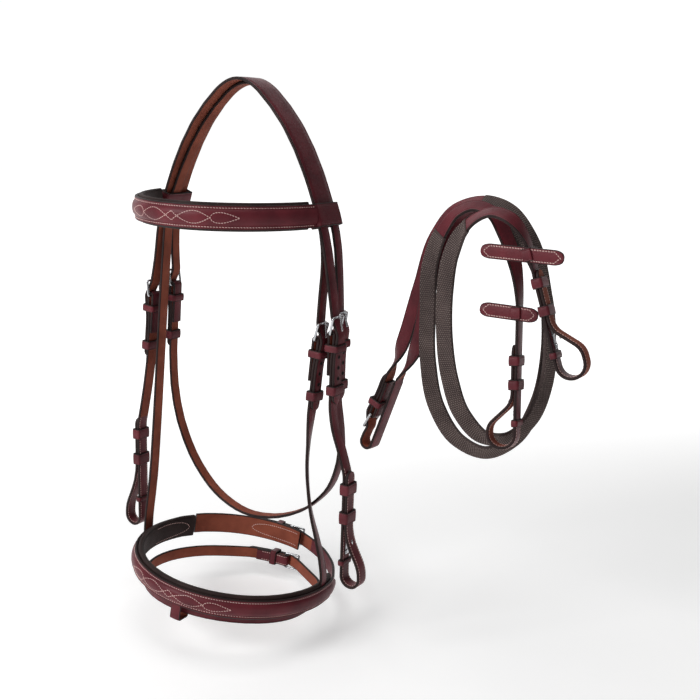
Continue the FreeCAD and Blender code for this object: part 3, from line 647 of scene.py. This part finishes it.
def in_place(bar_radius, degrees, points):
    """Out and up, seen from a bar on the ring, to the ring plane's u and v."""
    a = math.radians(degrees)
    base = polar(bar_radius, degrees)
    out, up = (math.cos(a), math.sin(a)), (math.sin(a), -math.cos(a))
    return [(base[0] + p[0] * out[0] + p[1] * up[0], base[1] + p[0] * out[1] + p[1] * up[1]) + tuple(p[2:])
            for p in points]


def ring_fold(bar_r, degrees):
    """A buckle's folded end on a ring: the turned-back layer, the fold, then the strap outside it."""
    inside = bar_r - FOLD_R
    ends = in_place(bar_r, degrees, [(-FOLD_R, FOLD_R, FOLD_R), (FOLD_R, FOLD_R, FOLD_R)])
    return [polar(inside, degrees + 20), polar(inside * 1.006, degrees + 10)] + ends + [
        polar(bar_r + FOLD_R + 0.2, degrees + 4), polar(bar_r + 2.2, degrees + 13)]


def ring_tail(bar_r, degrees, sweep):
    """The tail over that end, from the frame's top to its tip."""
    through = in_place(bar_r, degrees, [(1.3, BUCKLE_RISE, 10), (FOLD_R + LAYER + 1.0, 0)])
    over = bar_r + LAYER
    return through + [polar(over + FOLD_R + 0.5, degrees + 4), polar(over + 2.7, degrees + 13),
                      polar(over + 2.5, degrees + sweep)]


NOSE_BAR = (NOSE_R + 2.4 + FOLD_R, 95.0)
FLASH_BAR = (FLASH_R + FOLD_R, 94.0)
BILLET_WIDTH = 16.0
NOSE_CHEEK_LINE = [(94.5, -13.5, -360), (91, -10, -386), (90, -6, -412), (92, -2, -442), (97.5, 2, -470),
                   (102.5, 4.7, -496)]
NOSE_CHEEK_LINE += [TUCK_PLACE.at(-1.95, up) for up in (16, 5, -4)]
NOSE_CHEEK_FACES = [(0.9, 0.4, 0), (0.85, 0.5, 0), (0.82, 0.55, 0), (0.82, 0.5, 0.25), (0.85, 0.35, 0.35),
                    (0.9, 0.2, 0.25)]
NOSE_CHEEK_FACES += [TUCK_PLACE.out] * 3


def flash_ring():
    ring = [polar(FLASH_BAR[0] + 2.2, FLASH_BAR[1] + 24)]
    for a in range(135, 420, 15):
        flat = math.sin(math.pi * (a - 330) / 100) ** 2 if a > 330 else 0.0
        ring.append(polar(FLASH_R + 1.0 - 9.0 * flat, a))
    return ring


FLASH_LOOP = [(-2.0, -3), (-2.0, -29, 3), (-18.5, -29, 3), (-18.5, 3, 2.5), (-10.6, 3)]
GRIP = (0.64, 0.77)  # how far a grip faces outward from the hung coil, and how far to its front
COIL_CENTRE = Vec((248, 66, -235))
COIL_FRONT = Vec((0.605, -0.755, 0.252))
REIN_ROUTES = {
    "left": [(145, 84, -263), (161, 87, -199), (176, 91, -145), (194, 95, -119), (223, 94, -109),
             (251, 94.5, -115), (275, 95.5, -140), (294, 93.5, -185), (303, 90.5, -241), (298, 87, -302),
             (278, 83, -344), (251, 78, -361), (220, 75, -353), (197, 70, -322), (185, 67, -273),
             (183, 65, -220), (184, 63, -173), (195, 61, -141), (212, 60, -119), (232, 59, -111),
             (252, 58, -117), (266, 56, -135), (278, 54, -158)],
    "right": [(168, 73, -261), (180, 72, -199), (196, 72, -149), (213, 74, -123), (233, 75, -115),
             (256, 74, -122), (279, 73, -144), (301, 72, -180), (313, 70, -229), (313, 69, -278),
             (301, 66, -315), (280, 62, -336), (255, 59, -338), (233, 56, -319), (219, 52, -284),
             (211, 50, -239), (210, 48, -199), (215, 46, -160), (227, 43, -135), (244, 39, -120),
             (263, 35, -113), (282, 33, -118)],
}
REIN_GRIPS = {"left": (6.0, 19.0), "right": (7.0, 20.4)}


def coil_facing(point):
    """The grain of a hung rein faces outward and to the front, so the coil is a little like a cone."""
    spoke = point - COIL_CENTRE
    spoke = (spoke - COIL_FRONT * spoke.dot(COIL_FRONT)).normalized()
    return spoke * GRIP[0] + COIL_FRONT * GRIP[1]


HAND_BAR = Vec((114, 86, -347))
HAND_UP = (-0.34, 0.02, -0.94)
HAND_OUT = (-0.93, 0.10, 0.34)
REIN_HOLE_R = 12.0
REIN_ENDS = {
    "left": {"origin": (287, 57, -199), "up": (-0.11, 0.137, 0.984), "out": (0.98, 0.1, 0), "turn": -1,
             "loop": -139.5, "tip": -39, "keepers": (-54, -77), "small": -113.5, "hook": -98.5,
             "stop": -9, "reach": (-36, 21)},
    "right": {"origin": (298, 39, -136), "up": (-0.345, 0.037, 0.938), "out": (0.98, 0.1, 0.446), "turn": 1,
              "loop": -130, "tip": -28, "keepers": (-40, -66), "small": -107.5, "hook": -93,
              "stop": -13, "reach": (-45, 34)},
}


def rein_end_path(data):
    turn, loop = data["turn"], data["loop"]
    side = REIN_HOLE_R + (LEATHER if turn < 0 else 0)
    far = 2 * side * turn
    lie = 0.3 if turn > 0 else -2 * LEATHER - 0.3
    return [(0, 0), (0, loop, side), (far, loop, side), (far, loop + 23, 16), (lie, loop + 46, 20),
            (lie, data["tip"])]


# ---- headstall ----
def plain_strap(name, node, stations):
    build = Build()
    leather(build, stations)
    build.done(name, node)


def plain_band(name, node, place, out, half, up, wall=2.0, body="headstall"):
    build = Build()
    band(build, place, out, half, up, wall)
    build.done(name, node, body)


def two_rows(build, stations, inset=2.0, start=3.0, end=-3.0, crown=PLAIN, inner=False):
    half = stations[len(stations) // 2].width / 2 - inset
    for x in (-half, half):
        sewn_row(build, stations, x, start, end, crown, inner)


def eased(stations, span=24.0):
    """Rounds a strap's line over the poll, and leaves its lower ends as they are."""
    total = lengths(stations)
    found = []
    for k, station in enumerate(stations):
        reach = span * min(max((station.grain.z + 190) / 60, 0.0), 1.0)
        if reach < 1:
            found.append(station)
            continue
        steps = [station_at(stations, total, total[k] + reach * j / 8) for j in range(-8, 9)]
        grain = sum((st.grain for st in steps), Vec()) / len(steps)
        flesh = sum((st.flesh for st in steps), Vec()) / len(steps)
        face = (grain - flesh).normalized()
        middle = (grain + flesh) / 2
        half = face * LEATHER / 2
        found.append(Station(middle + half, middle - half, station.across, station.width))
    return found


def crown():
    """The crown over the poll, with its front and rear tails on each side."""
    build = Build()
    legs = {}
    for tail, y0, y1 in (("front", CROWN_Y[0], CROWN_Y[1]), ("rear", CROWN_Y[2], CROWN_Y[3])):
        left, right = crown_half("left", tail), crown_half("right", tail)
        path = [(-p[0],) + tuple(p[1:]) for p in right] + left[::-1]
        plane = Plane((0, (y0 + y1) / 2, 0), (1, 0, 0), (0, 0, 1))
        legs[tail] = eased(flat_stations(plane, path, 0.0, -LEATHER, y1 - y0))
    split = -128.0  # height where the crown divides into its two tails
    for tail, stations in legs.items():
        middle = len(stations) // 2
        for half in (stations[:middle][::-1], stations[middle:]):
            low = [st for st in half if st.grain.z < split + 2.0]
            low = pointed(pointed(low))
            leather(build, low)
            punched(build, low, [-16, -27, -38, -49, -60])
    wide = CROWN_Y[3] - CROWN_Y[0]
    shift = Vec((0, (CROWN_Y[3] - CROWN_Y[1]) / 2, 0))
    body = [Station(st.grain + shift, st.flesh + shift, st.across, wide)
            for st in legs["front"] if st.grain.z >= split]
    leather(build, body)
    build.done("crown_leather", "crown_headpiece")


def cheek(name):
    data = SIDES[name]
    plane = side_plane(data["side"], CHEEK_Y)
    path = hung(data["cheek_bar"], data["cheek_lean"])(*FOLDED_END) + data["cheek"]
    path += billet_end(data["billet"], data["loop"])
    stations = flat_stations(plane, path, 0.0, -LEATHER, CHEEK_WIDTH)
    stations = pointed(stations)
    build = Build()
    total = lengths(stations)
    first = next(k for k, st in enumerate(stations) if total[k] > 100 and st.grain.z < BILLET_TIP + 6)
    leather(build, stations, lined=range(first, len(stations)))
    for inner in (False, True):
        two_rows(build, stations, 1.9, total[first], -6.0, inner=inner)
    punched(build, stations, [-12.0], 1.2)
    build.done(f"cheekpiece_{name}_leather", f"cheekpiece_{name}")
    level = Place(plane.at(data["billet"], 0), plane.u, plane.v)
    half = CHEEK_WIDTH / 2 + 0.2
    stack = (-LEATHER - 0.2, GAP + LEATHER + 0.2)
    build = Build()
    band(build, level, stack, half, (-404, -392))
    band(build, level, stack, half, (-435, -422))
    band(build, level, (-LEATHER - 0.2, 0.2), half, (-481, -475), 1.6)
    build.done(f"cheek_billet_bands_{name}", f"cheek_billet_keepers_{name}")


def runner(prefix, suffix, place, half):
    node = f"{prefix}_runner_keeper{suffix}"
    plain_band(f"{prefix}_runner_band{suffix}", node, place, (1.8 - LEATHER - 0.45, 1.8 + LAYER + 0.45),
               half + 0.4, (-62, -52), body=node)


def fixed_band(build, place, half):
    band(build, place, (-FOLD_R - 0.2, FOLD_R + LAYER - 0.6), half + 0.3, (-18, -10))


def throat():
    near, far = SIDES["left"], SIDES["right"]
    start = hung(near["throat_bar"], near["throat_lean"])(*FOLDED_END)
    end = hung(far["throat_bar"], far["throat_lean"])(*FOLDED_END)
    end = [(-p[0],) + tuple(p[1:]) for p in end][::-1]
    plane = Plane((0, THROAT_Y, 0), (1, 0, 0), (0, 0, 1))
    stations = flat_stations(plane, start + THROAT_BOTTOM + end, 0.0, -LEATHER, THROAT_WIDTH)
    plain_strap("throatlatch_leather", "throatlatch_strap", stations)


def buckle_keepers(kind, y, width):
    """The fixed and the sliding keepers by the two cheek or the two throat buckles."""
    fixed = Build()
    for name, data in SIDES.items():
        place = bar_place(side_plane(data["side"], y), data[kind + "_bar"], data[kind + "_lean"])
        fixed_band(fixed, place, width / 2)
        runner(kind, f"_{name}", place, width / 2)
    fixed.done(f"{kind}_fixed_bands", f"{kind}_fixed_keepers")


def sliphead():
    path = [(-p[0],) + tuple(p[1:]) for p in SLIP_RIGHT + SLIP_LEG[::-1]] + SLIP_LEG + SLIP_LEFT
    path += hung(SLIP_BAR, SLIP_LEAN)(*TAIL_END)
    stations = eased(flat_stations(SLIP_PLANE, path, 0.0, -LEATHER, SLIP_WIDTH))
    stations = pointed(stations)
    build = Build()
    leather(build, stations)
    punched(build, stations, [-16, -27, -38, -49, -60])
    build.done("sliphead_leather", "noseband_sliphead")
    place = bar_place(SLIP_PLANE, SLIP_BAR, SLIP_LEAN)
    end = Place(place.at(0, -TAIL_BELOW - 3), place.out, place.up)
    line = [end.at(1.8 - LEATHER / 2, up) for up in (20, -1)] + [Vec(p) for p in NOSE_CHEEK_LINE]
    faces = [place.out, place.out] + [Vec(f) for f in NOSE_CHEEK_FACES]
    folded = flat_stations(SLIP_PLANE, hung(SLIP_BAR, SLIP_LEAN)(*FOLDED_END), 0.0, -LEATHER, SLIP_WIDTH)
    free = ribbon_stations(line, faces, 1.15, len(line) - 1, SLIP_WIDTH, LEATHER)
    plain_strap("noseband_cheek_leather", "noseband_cheek_strap", folded + aligned(free, folded[-1].across))
    build = Build()
    fixed_band(build, place, SLIP_WIDTH / 2)
    build.done("sliphead_fixed_band", "sliphead_fixed_keeper")
    runner("sliphead", "", place, SLIP_WIDTH / 2)


def fancy(build, stations, crown, centre, reach, tall):
    """Mirrored wave stitching: a small diamond in the middle, then a lens and a pointed end on each side.
    The centre is a share of the band's length; reach gives the three parts' lengths."""
    middle = lengths(stations)[-1] * centre
    small, lens, point = reach
    steps = [k / 14 for k in range(1, 15)]
    for side in (-1, 1):
        for way in (-1, 1):
            shape = [(0.0, way * tall * 0.75), (small, 0.0)]
            shape += [(small + lens * t, -way * tall * math.sin(math.pi * t)) for t in steps]
            shape += [(small + lens + point * t, way * tall * 0.85 * math.sin(math.pi * t ** 0.62))
                      for t in steps]
            sewn_shape(build, stations, [(middle + side * s, x) for s, x in shape], crown)


def browband():
    plane = Plane((0, 0, BROWBAND_Z), (1, 0, 0), (0, 1, 0))
    turns = [math.radians(190.4 + 159.2 * k / 12) for k in range(13)]
    curve = [(BROWBAND_HALF * math.cos(a), BROWBAND_DEPTH * math.sin(a)) for a in turns]
    face = flat_stations(plane, curve, -LEATHER, 0.0, BROWBAND_HEIGHT)
    build = Build()
    leather(build, face, RAISED)
    two_rows(build, face, 2.6, 2.0, -2.0, RAISED)
    fancy(build, face, RAISED, 0.529, (6.2, 32.0, 27.0), 5.8)
    build.done("browband_raised_face", "browband_face")
    ends = [tuple(a + (b - a) * 0.22 for a, b in zip(*pair)) for pair in (curve[:2], curve[:-3:-1])]
    pad = flat_stations(plane, ends[:1] + curve[1:-1] + ends[1:], 5.7, 0.7, BROWBAND_HEIGHT + 4)
    build = Build()
    leather(build, pad, PUFFED, 2.2, "padding")
    build.done("browband_padding_soft", "browband_padding")
    build = Build()
    for side in (-1, 1):
        tilt = math.radians(19.3)
        place = Place((side * 102.3, -1.25, BROWBAND_Z), (side * math.cos(tilt), 0, math.sin(tilt)),
                      (-side * math.sin(tilt), 0, math.cos(tilt)))
        band(build, place, (-8.0, 0.6), 17.1, (-11.5, 11.5), 2.4, 1.0)
    build.done("browband_end_loops", "browband_loops")


def noseband():
    face = flat_stations(NOSE, arc_path(NOSE_R, 156, 384, 14), 0.0, LEATHER, NOSE_HEIGHT)
    build = Build()
    leather(build, face, RAISED)
    two_rows(build, face, 2.5, 2.0, -2.0, RAISED)
    fancy(build, face, RAISED, 0.508, (6.6, 33.0, 29.0), 4.9)
    build.done("noseband_raised_face", "noseband_face")
    pad = flat_stations(NOSE, arc_path(NOSE_R - 3.5, 158, 382, 14), PADDING, 0.0, NOSE_HEIGHT + 6)
    build = Build()
    leather(build, pad, PUFFED, 2.6, "padding")
    total = lengths(pad)
    for end, way in ((3.0, 1), (total[-1] - 3.0, -1)):
        turns = [math.pi * k / 20 for k in range(21)]
        shape = [(end + way * (58 - 54 * math.sin(a) ** 0.6), -9 * math.cos(a)) for a in turns]
        sewn_shape(build, pad, shape, PUFFED)
    build.done("noseband_padding_soft", "noseband_padding")
    chin = flat_stations(NOSE, arc_path(NOSE_R, 155.3, 85, 6), 0.0, -LEATHER, CHIN_WIDTH)
    build = Build()
    leather(build, chin)
    total = lengths(chin)
    turns = [math.pi * k / 28 for k in range(29)]
    shape = [(total[-1] - 3 - 62 * math.sin(a) ** 0.5, 7.4 * math.cos(a)) for a in turns]
    sewn_shape(build, chin, shape, inner=True)
    build.done("chin_strap_leather", "noseband_chin_strap")
    chape = ring_fold(*NOSE_BAR) + [polar(NOSE_BAR[0] + 1.9, NOSE_BAR[1] + 20)]
    plain_strap("noseband_chape_leather", "noseband_buckle_chape",
                flat_stations(NOSE, chape, 0.0, LEATHER, BILLET_WIDTH))
    path = [polar(NOSE_R, 24.7), polar(NOSE_R + 0.6, 42), polar(NOSE_R + 2.6, 62), polar(NOSE_R + 5.0, 76)]
    path += ring_tail(*NOSE_BAR, 25)
    billet = flat_stations(NOSE, path, 0.0, LEATHER, BILLET_WIDTH)
    billet = pointed(billet)
    build = Build()
    leather(build, billet, lined=range(len(billet) // 3))
    two_rows(build, billet, 2.0, 3.0, -8.0)
    punched(build, billet, [-14, -24])
    build.done("noseband_billet_leather", "noseband_billet_strap")
    over = ring_place(NOSE, NOSE_BAR[0], NOSE_BAR[1] + 7.5)
    plain_band("noseband_fixed_band", "noseband_fixed_keeper", over, (-FOLD_R - 0.5, 5.2 + LAYER),
               BILLET_WIDTH / 2 + 0.3, (-4, 4), 1.2)


def flash():
    path = ring_fold(*FLASH_BAR) + flash_ring() + ring_tail(*FLASH_BAR, 27)
    stations = flat_stations(FLASH, path, 0.0, LEATHER, FLASH_WIDTH)
    stations = pointed(stations)
    build = Build()
    leather(build, stations)
    two_rows(build, stations, 1.9, 6.0, 40.0)
    punched(build, stations, [-14, -24, -34])
    build.done("flash_strap_leather", "flash_strap")
    over = ring_place(FLASH, FLASH_BAR[0], FLASH_BAR[1] + 8)
    plain_band("flash_fixed_band", "flash_fixed_keeper", over, (-FOLD_R - 0.6, 5.2 + LAYER),
               FLASH_WIDTH / 2 + 0.3, (-4, 4), 1.6)
    drop = Plane(LOOP_PLACE.origin, LOOP_PLACE.out, LOOP_PLACE.up)
    build = Build()
    leather(build, flat_stations(drop, FLASH_LOOP, 0.0, -1.6, 12), soft=0.6)
    build.done("flash_loop_leather", "flash_loop")


# ---- reins ----
def pimples(build, stations):
    """Rows of small rubber domes on both faces of a grip, coloured lighter than the rubber round them as a
    painted highlight on their tops.
    """
    total = lengths(stations)
    pitch = 2.1
    spokes = [math.tau * k / 6 for k in range(6)]
    for inner in (False, True):
        for n in range(int((total[-1] - 3) / pitch)):
            s = 2.0 + n * pitch
            station = station_at(stations, total, s)
            edge, count = (6.3, 7) if n % 2 else (7.3, 8)
            for j in range(count):
                here, normal = on_strap(stations, total, s, min(j * pitch - edge, edge), FLAT, inner)
                along = station.across.cross(normal)
                ids = []
                for a in spokes:
                    reach = (station.across * math.cos(a) + along * math.sin(a)) * 0.72
                    ids.append(build.point(here - normal * 0.1 + reach))
                top = build.point(here + normal * 0.6)
                for k in range(6):
                    build.face((ids[k], ids[(k + 1) % 6], top), "pimple")


def reins():
    hand = Place(HAND_BAR, HAND_OUT, HAND_UP)
    hand_plane = Plane(hand.origin, hand.out, hand.up)
    folded = FOLDED_END[:-1] + [(1.8, -52)]
    turned = [(-14, -50), (-14, 42, 8.5), (3, 42, 8.5), (3, 26)] + TAIL_END[:-1] + [(1.8 + LAYER, -48)]
    for name, route in REIN_ROUTES.items():
        drawn = flat_stations(hand_plane, folded if name == "left" else turned, 0.0, -LEATHER, REIN_WIDTH)
        start, out = (-50.0, 1.8 - LEATHER / 2) if name == "left" else (-48.0, -14 + LEATHER / 2)
        data = REIN_ENDS[name]
        up = Vec(data["up"]).normalized()
        out_way = Vec(data["out"])
        plane = Plane(data["origin"], out_way - up * out_way.dot(up), up)
        points = [Vec(p) for p in route]
        line = [hand.at(out, start + 20), hand.at(out, start)] + points
        line += [plane.at(-1.5, -2), plane.at(-1.5, -22)]
        faces = [hand.out] * 2 + [coil_facing(p) for p in points] + [plane.u] * 2
        g0, g1 = REIN_GRIPS[name]
        grip = ribbon_stations(line, faces, g0, g1, GRIP_WIDTH, GRIP_THICK - 0.6, 0.1)
        build = Build()
        leather(build, grip, FLAT, 1.7, "rubber")
        pimples(build, grip)
        build.done(f"rein_rubber_grip_{name}", f"rein_grip_{name}", "reins")
        build = Build()
        free = ribbon_stations(line, faces, 1.12, g0 + 0.05, REIN_WIDTH, LEATHER)
        if name == "left":
            leather(build, drawn[:-1] + aligned(free, drawn[-1].across))
        else:
            drawn = pointed(drawn)
            free = aligned(free, drawn[0].across)
            whole = free[::-1] + drawn[1:]
            leather(build, whole)
            punched(build, whole, [-14, -26, -38])
        build.done(f"rein_hand_leather_{name}", f"rein_hand_strap_{name}", "reins")
        turn = data["turn"]
        end = flat_stations(plane, rein_end_path(data), 0.0, -LEATHER, REIN_WIDTH)
        end = pointed(end)
        free = ribbon_stations(line, faces, g1 - 0.05, len(line) - 2.12, REIN_WIDTH, LEATHER)
        whole = aligned(free, end[0].across) + end[1:]
        build = Build()
        leather(build, whole)
        for inner in (False, True):
            two_rows(build, whole, 2.0, lengths(whole)[-1] - 150, -8.0, inner=inner)
        punched(build, whole, [-12.0], 1.2, inner=turn < 0)
        build.done(f"rein_bit_leather_{name}", f"rein_bit_strap_{name}", "reins")
        face = 0.0 if turn > 0 else -LEATHER
        level = Place(plane.at(face, 0), plane.u * turn, plane.v)
        half = REIN_WIDTH / 2 + 0.2
        build = Build()
        for at in data["keepers"]:
            band(build, level, (-LEATHER - 0.2, LEATHER + 0.5), half, (at - 5, at + 5))
        band(build, level, (-LEATHER - 0.2, 0.2), half, (data["small"] - 3.5, data["small"] + 3.5), 1.6)
        build.done(f"rein_billet_bands_{name}", f"rein_billet_keepers_{name}", "reins")
        stop(name, plane, data["stop"], data["reach"])
    build = Build()
    fixed_band(build, hand, REIN_WIDTH / 2)
    build.done("rein_buckle_band", "rein_buckle_keeper", "reins")


def stop(name, plane, at, reach):
    """A pointed strip with a stitched border, and the ring behind it that holds the rein."""
    rein = Place(plane.at(-LEATHER / 2, at), plane.w * -1, plane.u)
    level = Vec((1, 0, 0)) - rein.out * rein.out.x
    place = Place(rein.origin, rein.out, level)
    half = REIN_WIDTH / 2
    line = [place.at(half + 3.4, reach[0] + (reach[1] - reach[0]) * k / 24) for k in range(25)]
    stations = [Station(p, p - place.out * 2.8, place.across.copy(), 14.0) for p in line]
    for at_end in (True, False):
        stations = tapered(refined(stations, at_end, 10.0, 10), at_end, 9.5)
    build = Build()
    leather(build, stations, soft=0.8)
    span = lengths(stations)[-1]
    side = 5.0  # how far the border runs from the middle line
    far = span - 8.5
    shape = [(3.0, 0.0), (8.5, side), (far, side), (span - 3.0, 0.0), (far, -side), (8.5, -side),
             (3.0, 0.0)]
    sewn_shape(build, stations, shape)
    ring = Plane(rein.origin, rein.out, rein.up)
    lo, hi = -half - 2.6, half + 5.7
    path = [(0, -4.4), (lo, -4.4, 2.4), (lo, 4.4, 2.4), (hi, 4.4, 0.6), (hi, -4.4, 0.6), (0, -4.4)]
    leather(build, flat_stations(ring, path, 0.0, -2.0, 12), soft=0.7, closed=True)
    node = f"rein_stop_{name}"
    build.done(f"rein_stop_leather_{name}", node, node)


crown()
for side_name in SIDES:
    cheek(side_name)
throat()
buckle_keepers("throat", THROAT_Y, THROAT_WIDTH)
buckle_keepers("cheek", CHEEK_Y, CHEEK_WIDTH)
sliphead()
browband()
noseband()
flash()
reins()

for node_name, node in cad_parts.items():
    if "_frame" in node_name or "_tongue" in node_name or "studs" in node_name:
        node.data.materials.clear()
        node.data.materials.append(LOOKS["steel"])
        node.data.polygons.foreach_set("use_smooth", [True] * len(node.data.polygons))
        node.data.set_sharp_from_angle(angle=math.radians(35))

# ---- stage, light and camera ----
BACKWARD = (-0.65, 0.76, 0.0)  # towards the white wall behind the bridle
BELOW = 0.012  # the floor's distance under the bridle, in metres


def glow(tree, kind, target, starts, ends):
    """Makes a strength rise along BACKWARD: starts and ends are (distance, strength) pairs."""
    where = tree.nodes.new("ShaderNodeTexCoord")
    reach = tree.nodes.new("ShaderNodeVectorMath")
    reach.operation = "DOT_PRODUCT"
    reach.inputs[1].default_value = BACKWARD
    level = tree.nodes.new("ShaderNodeMapRange")
    level.interpolation_type = "SMOOTHSTEP"
    for end, (distance, strength) in (("Min", starts), ("Max", ends)):
        level.inputs[f"From {end}"].default_value = distance
        level.inputs[f"To {end}"].default_value = strength
    tree.links.new(where.outputs[kind], reach.inputs[0])
    tree.links.new(reach.outputs["Value"], level.inputs["Value"])
    tree.links.new(level.outputs["Result"], target)


def floor(height, half=6.0):
    """A pale sheet that glows a little, and more with distance, so its far edge meets the white wall."""
    mesh = bpy.data.meshes.new("floor")
    corners = [(-half, -half), (half, -half), (half, half), (-half, half)]
    mesh.from_pydata([(x, y, height) for x, y in corners], [], [(0, 1, 2, 3)])
    paint = bpy.data.materials.new("floor_paint")
    paint.use_nodes = True
    tree = paint.node_tree
    shader = tree.nodes["Principled BSDF"]
    for socket, value in (("Base Color", (0.9, 0.9, 0.9, 1)), ("Roughness", 1.0),
                          ("Specular IOR Level", 0.0), ("Emission Color", (1, 1, 1, 1))):
        shader.inputs[socket].default_value = value
    glow(tree, "Object", shader.inputs["Emission Strength"], (0.2, 0.27), (1.3, 1.0))
    mesh.materials.append(paint)
    piece = bpy.data.objects.new("floor", mesh)
    bpy.context.scene.collection.objects.link(piece)
    piece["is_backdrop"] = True


MIDDLE = Vec((0.05, 0.0, -0.3))  # what the lights point at


def area_light(name, position, size, power):
    data = bpy.data.lights.new(name, "AREA")
    data.shape = "SQUARE"
    data.size = size
    data.energy = power
    lamp = bpy.data.objects.new(name, data)
    lamp.location = position
    lamp.rotation_mode = "QUATERNION"
    lamp.rotation_quaternion = (MIDDLE - Vec(position)).to_track_quat("-Z", "Y")
    bpy.context.scene.collection.objects.link(lamp)


def studio():
    """A white wall far behind the bridle and a dim room in front of it."""
    world = bpy.data.worlds.new("studio")
    world.use_nodes = True
    tree = world.node_tree
    ground = tree.nodes["Background"]
    ground.inputs["Color"].default_value = (1, 1, 1, 1)
    glow(tree, "Generated", ground.inputs["Strength"], (0.45, 0.17), (0.85, 1.02))
    bpy.context.scene.world = world
    bpy.context.scene.view_settings.view_transform = "Standard"


def camera():
    """Stands a little to the bridle's near side and above it."""
    azimuth, elevation, distance = math.radians(38.73), math.radians(14.6), 1091.69
    pan, tilt, roll = math.radians(-6.07), math.radians(-1.21), math.radians(1.89)
    back = Vec((math.sin(azimuth) * math.cos(elevation), -math.cos(azimuth) * math.cos(elevation),
                math.sin(elevation)))
    position = Vec((0, 0, -300)) + back * distance
    a, e = azimuth + pan, elevation + tilt
    behind = Vec((math.sin(a) * math.cos(e), -math.cos(a) * math.cos(e), math.sin(e)))
    right = Vec((math.cos(a), math.sin(a), 0))
    up = right.cross(-behind)
    right, up = right * math.cos(roll) + up * math.sin(roll), up * math.cos(roll) - right * math.sin(roll)
    data = bpy.data.cameras.new("photo_camera")
    data.lens = 52.03
    data.sensor_width = 36
    data.clip_start = 0.01
    viewer = bpy.data.objects.new("photo_camera", data)
    axes = Matrix((right, up, behind)).transposed().to_4x4()
    viewer.matrix_world = Matrix.Translation(position * SCALE) @ axes
    bpy.context.scene.collection.objects.link(viewer)
    bpy.context.scene.camera = viewer


floor(min(cad_box[0].z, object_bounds()[0].z) - BELOW)
area_light("key_light", (-0.7, -1.8, 0.75), 1.1, 32)
area_light("top_light", (-0.2, -0.2, 1.5), 1.4, 13)
studio()
camera()
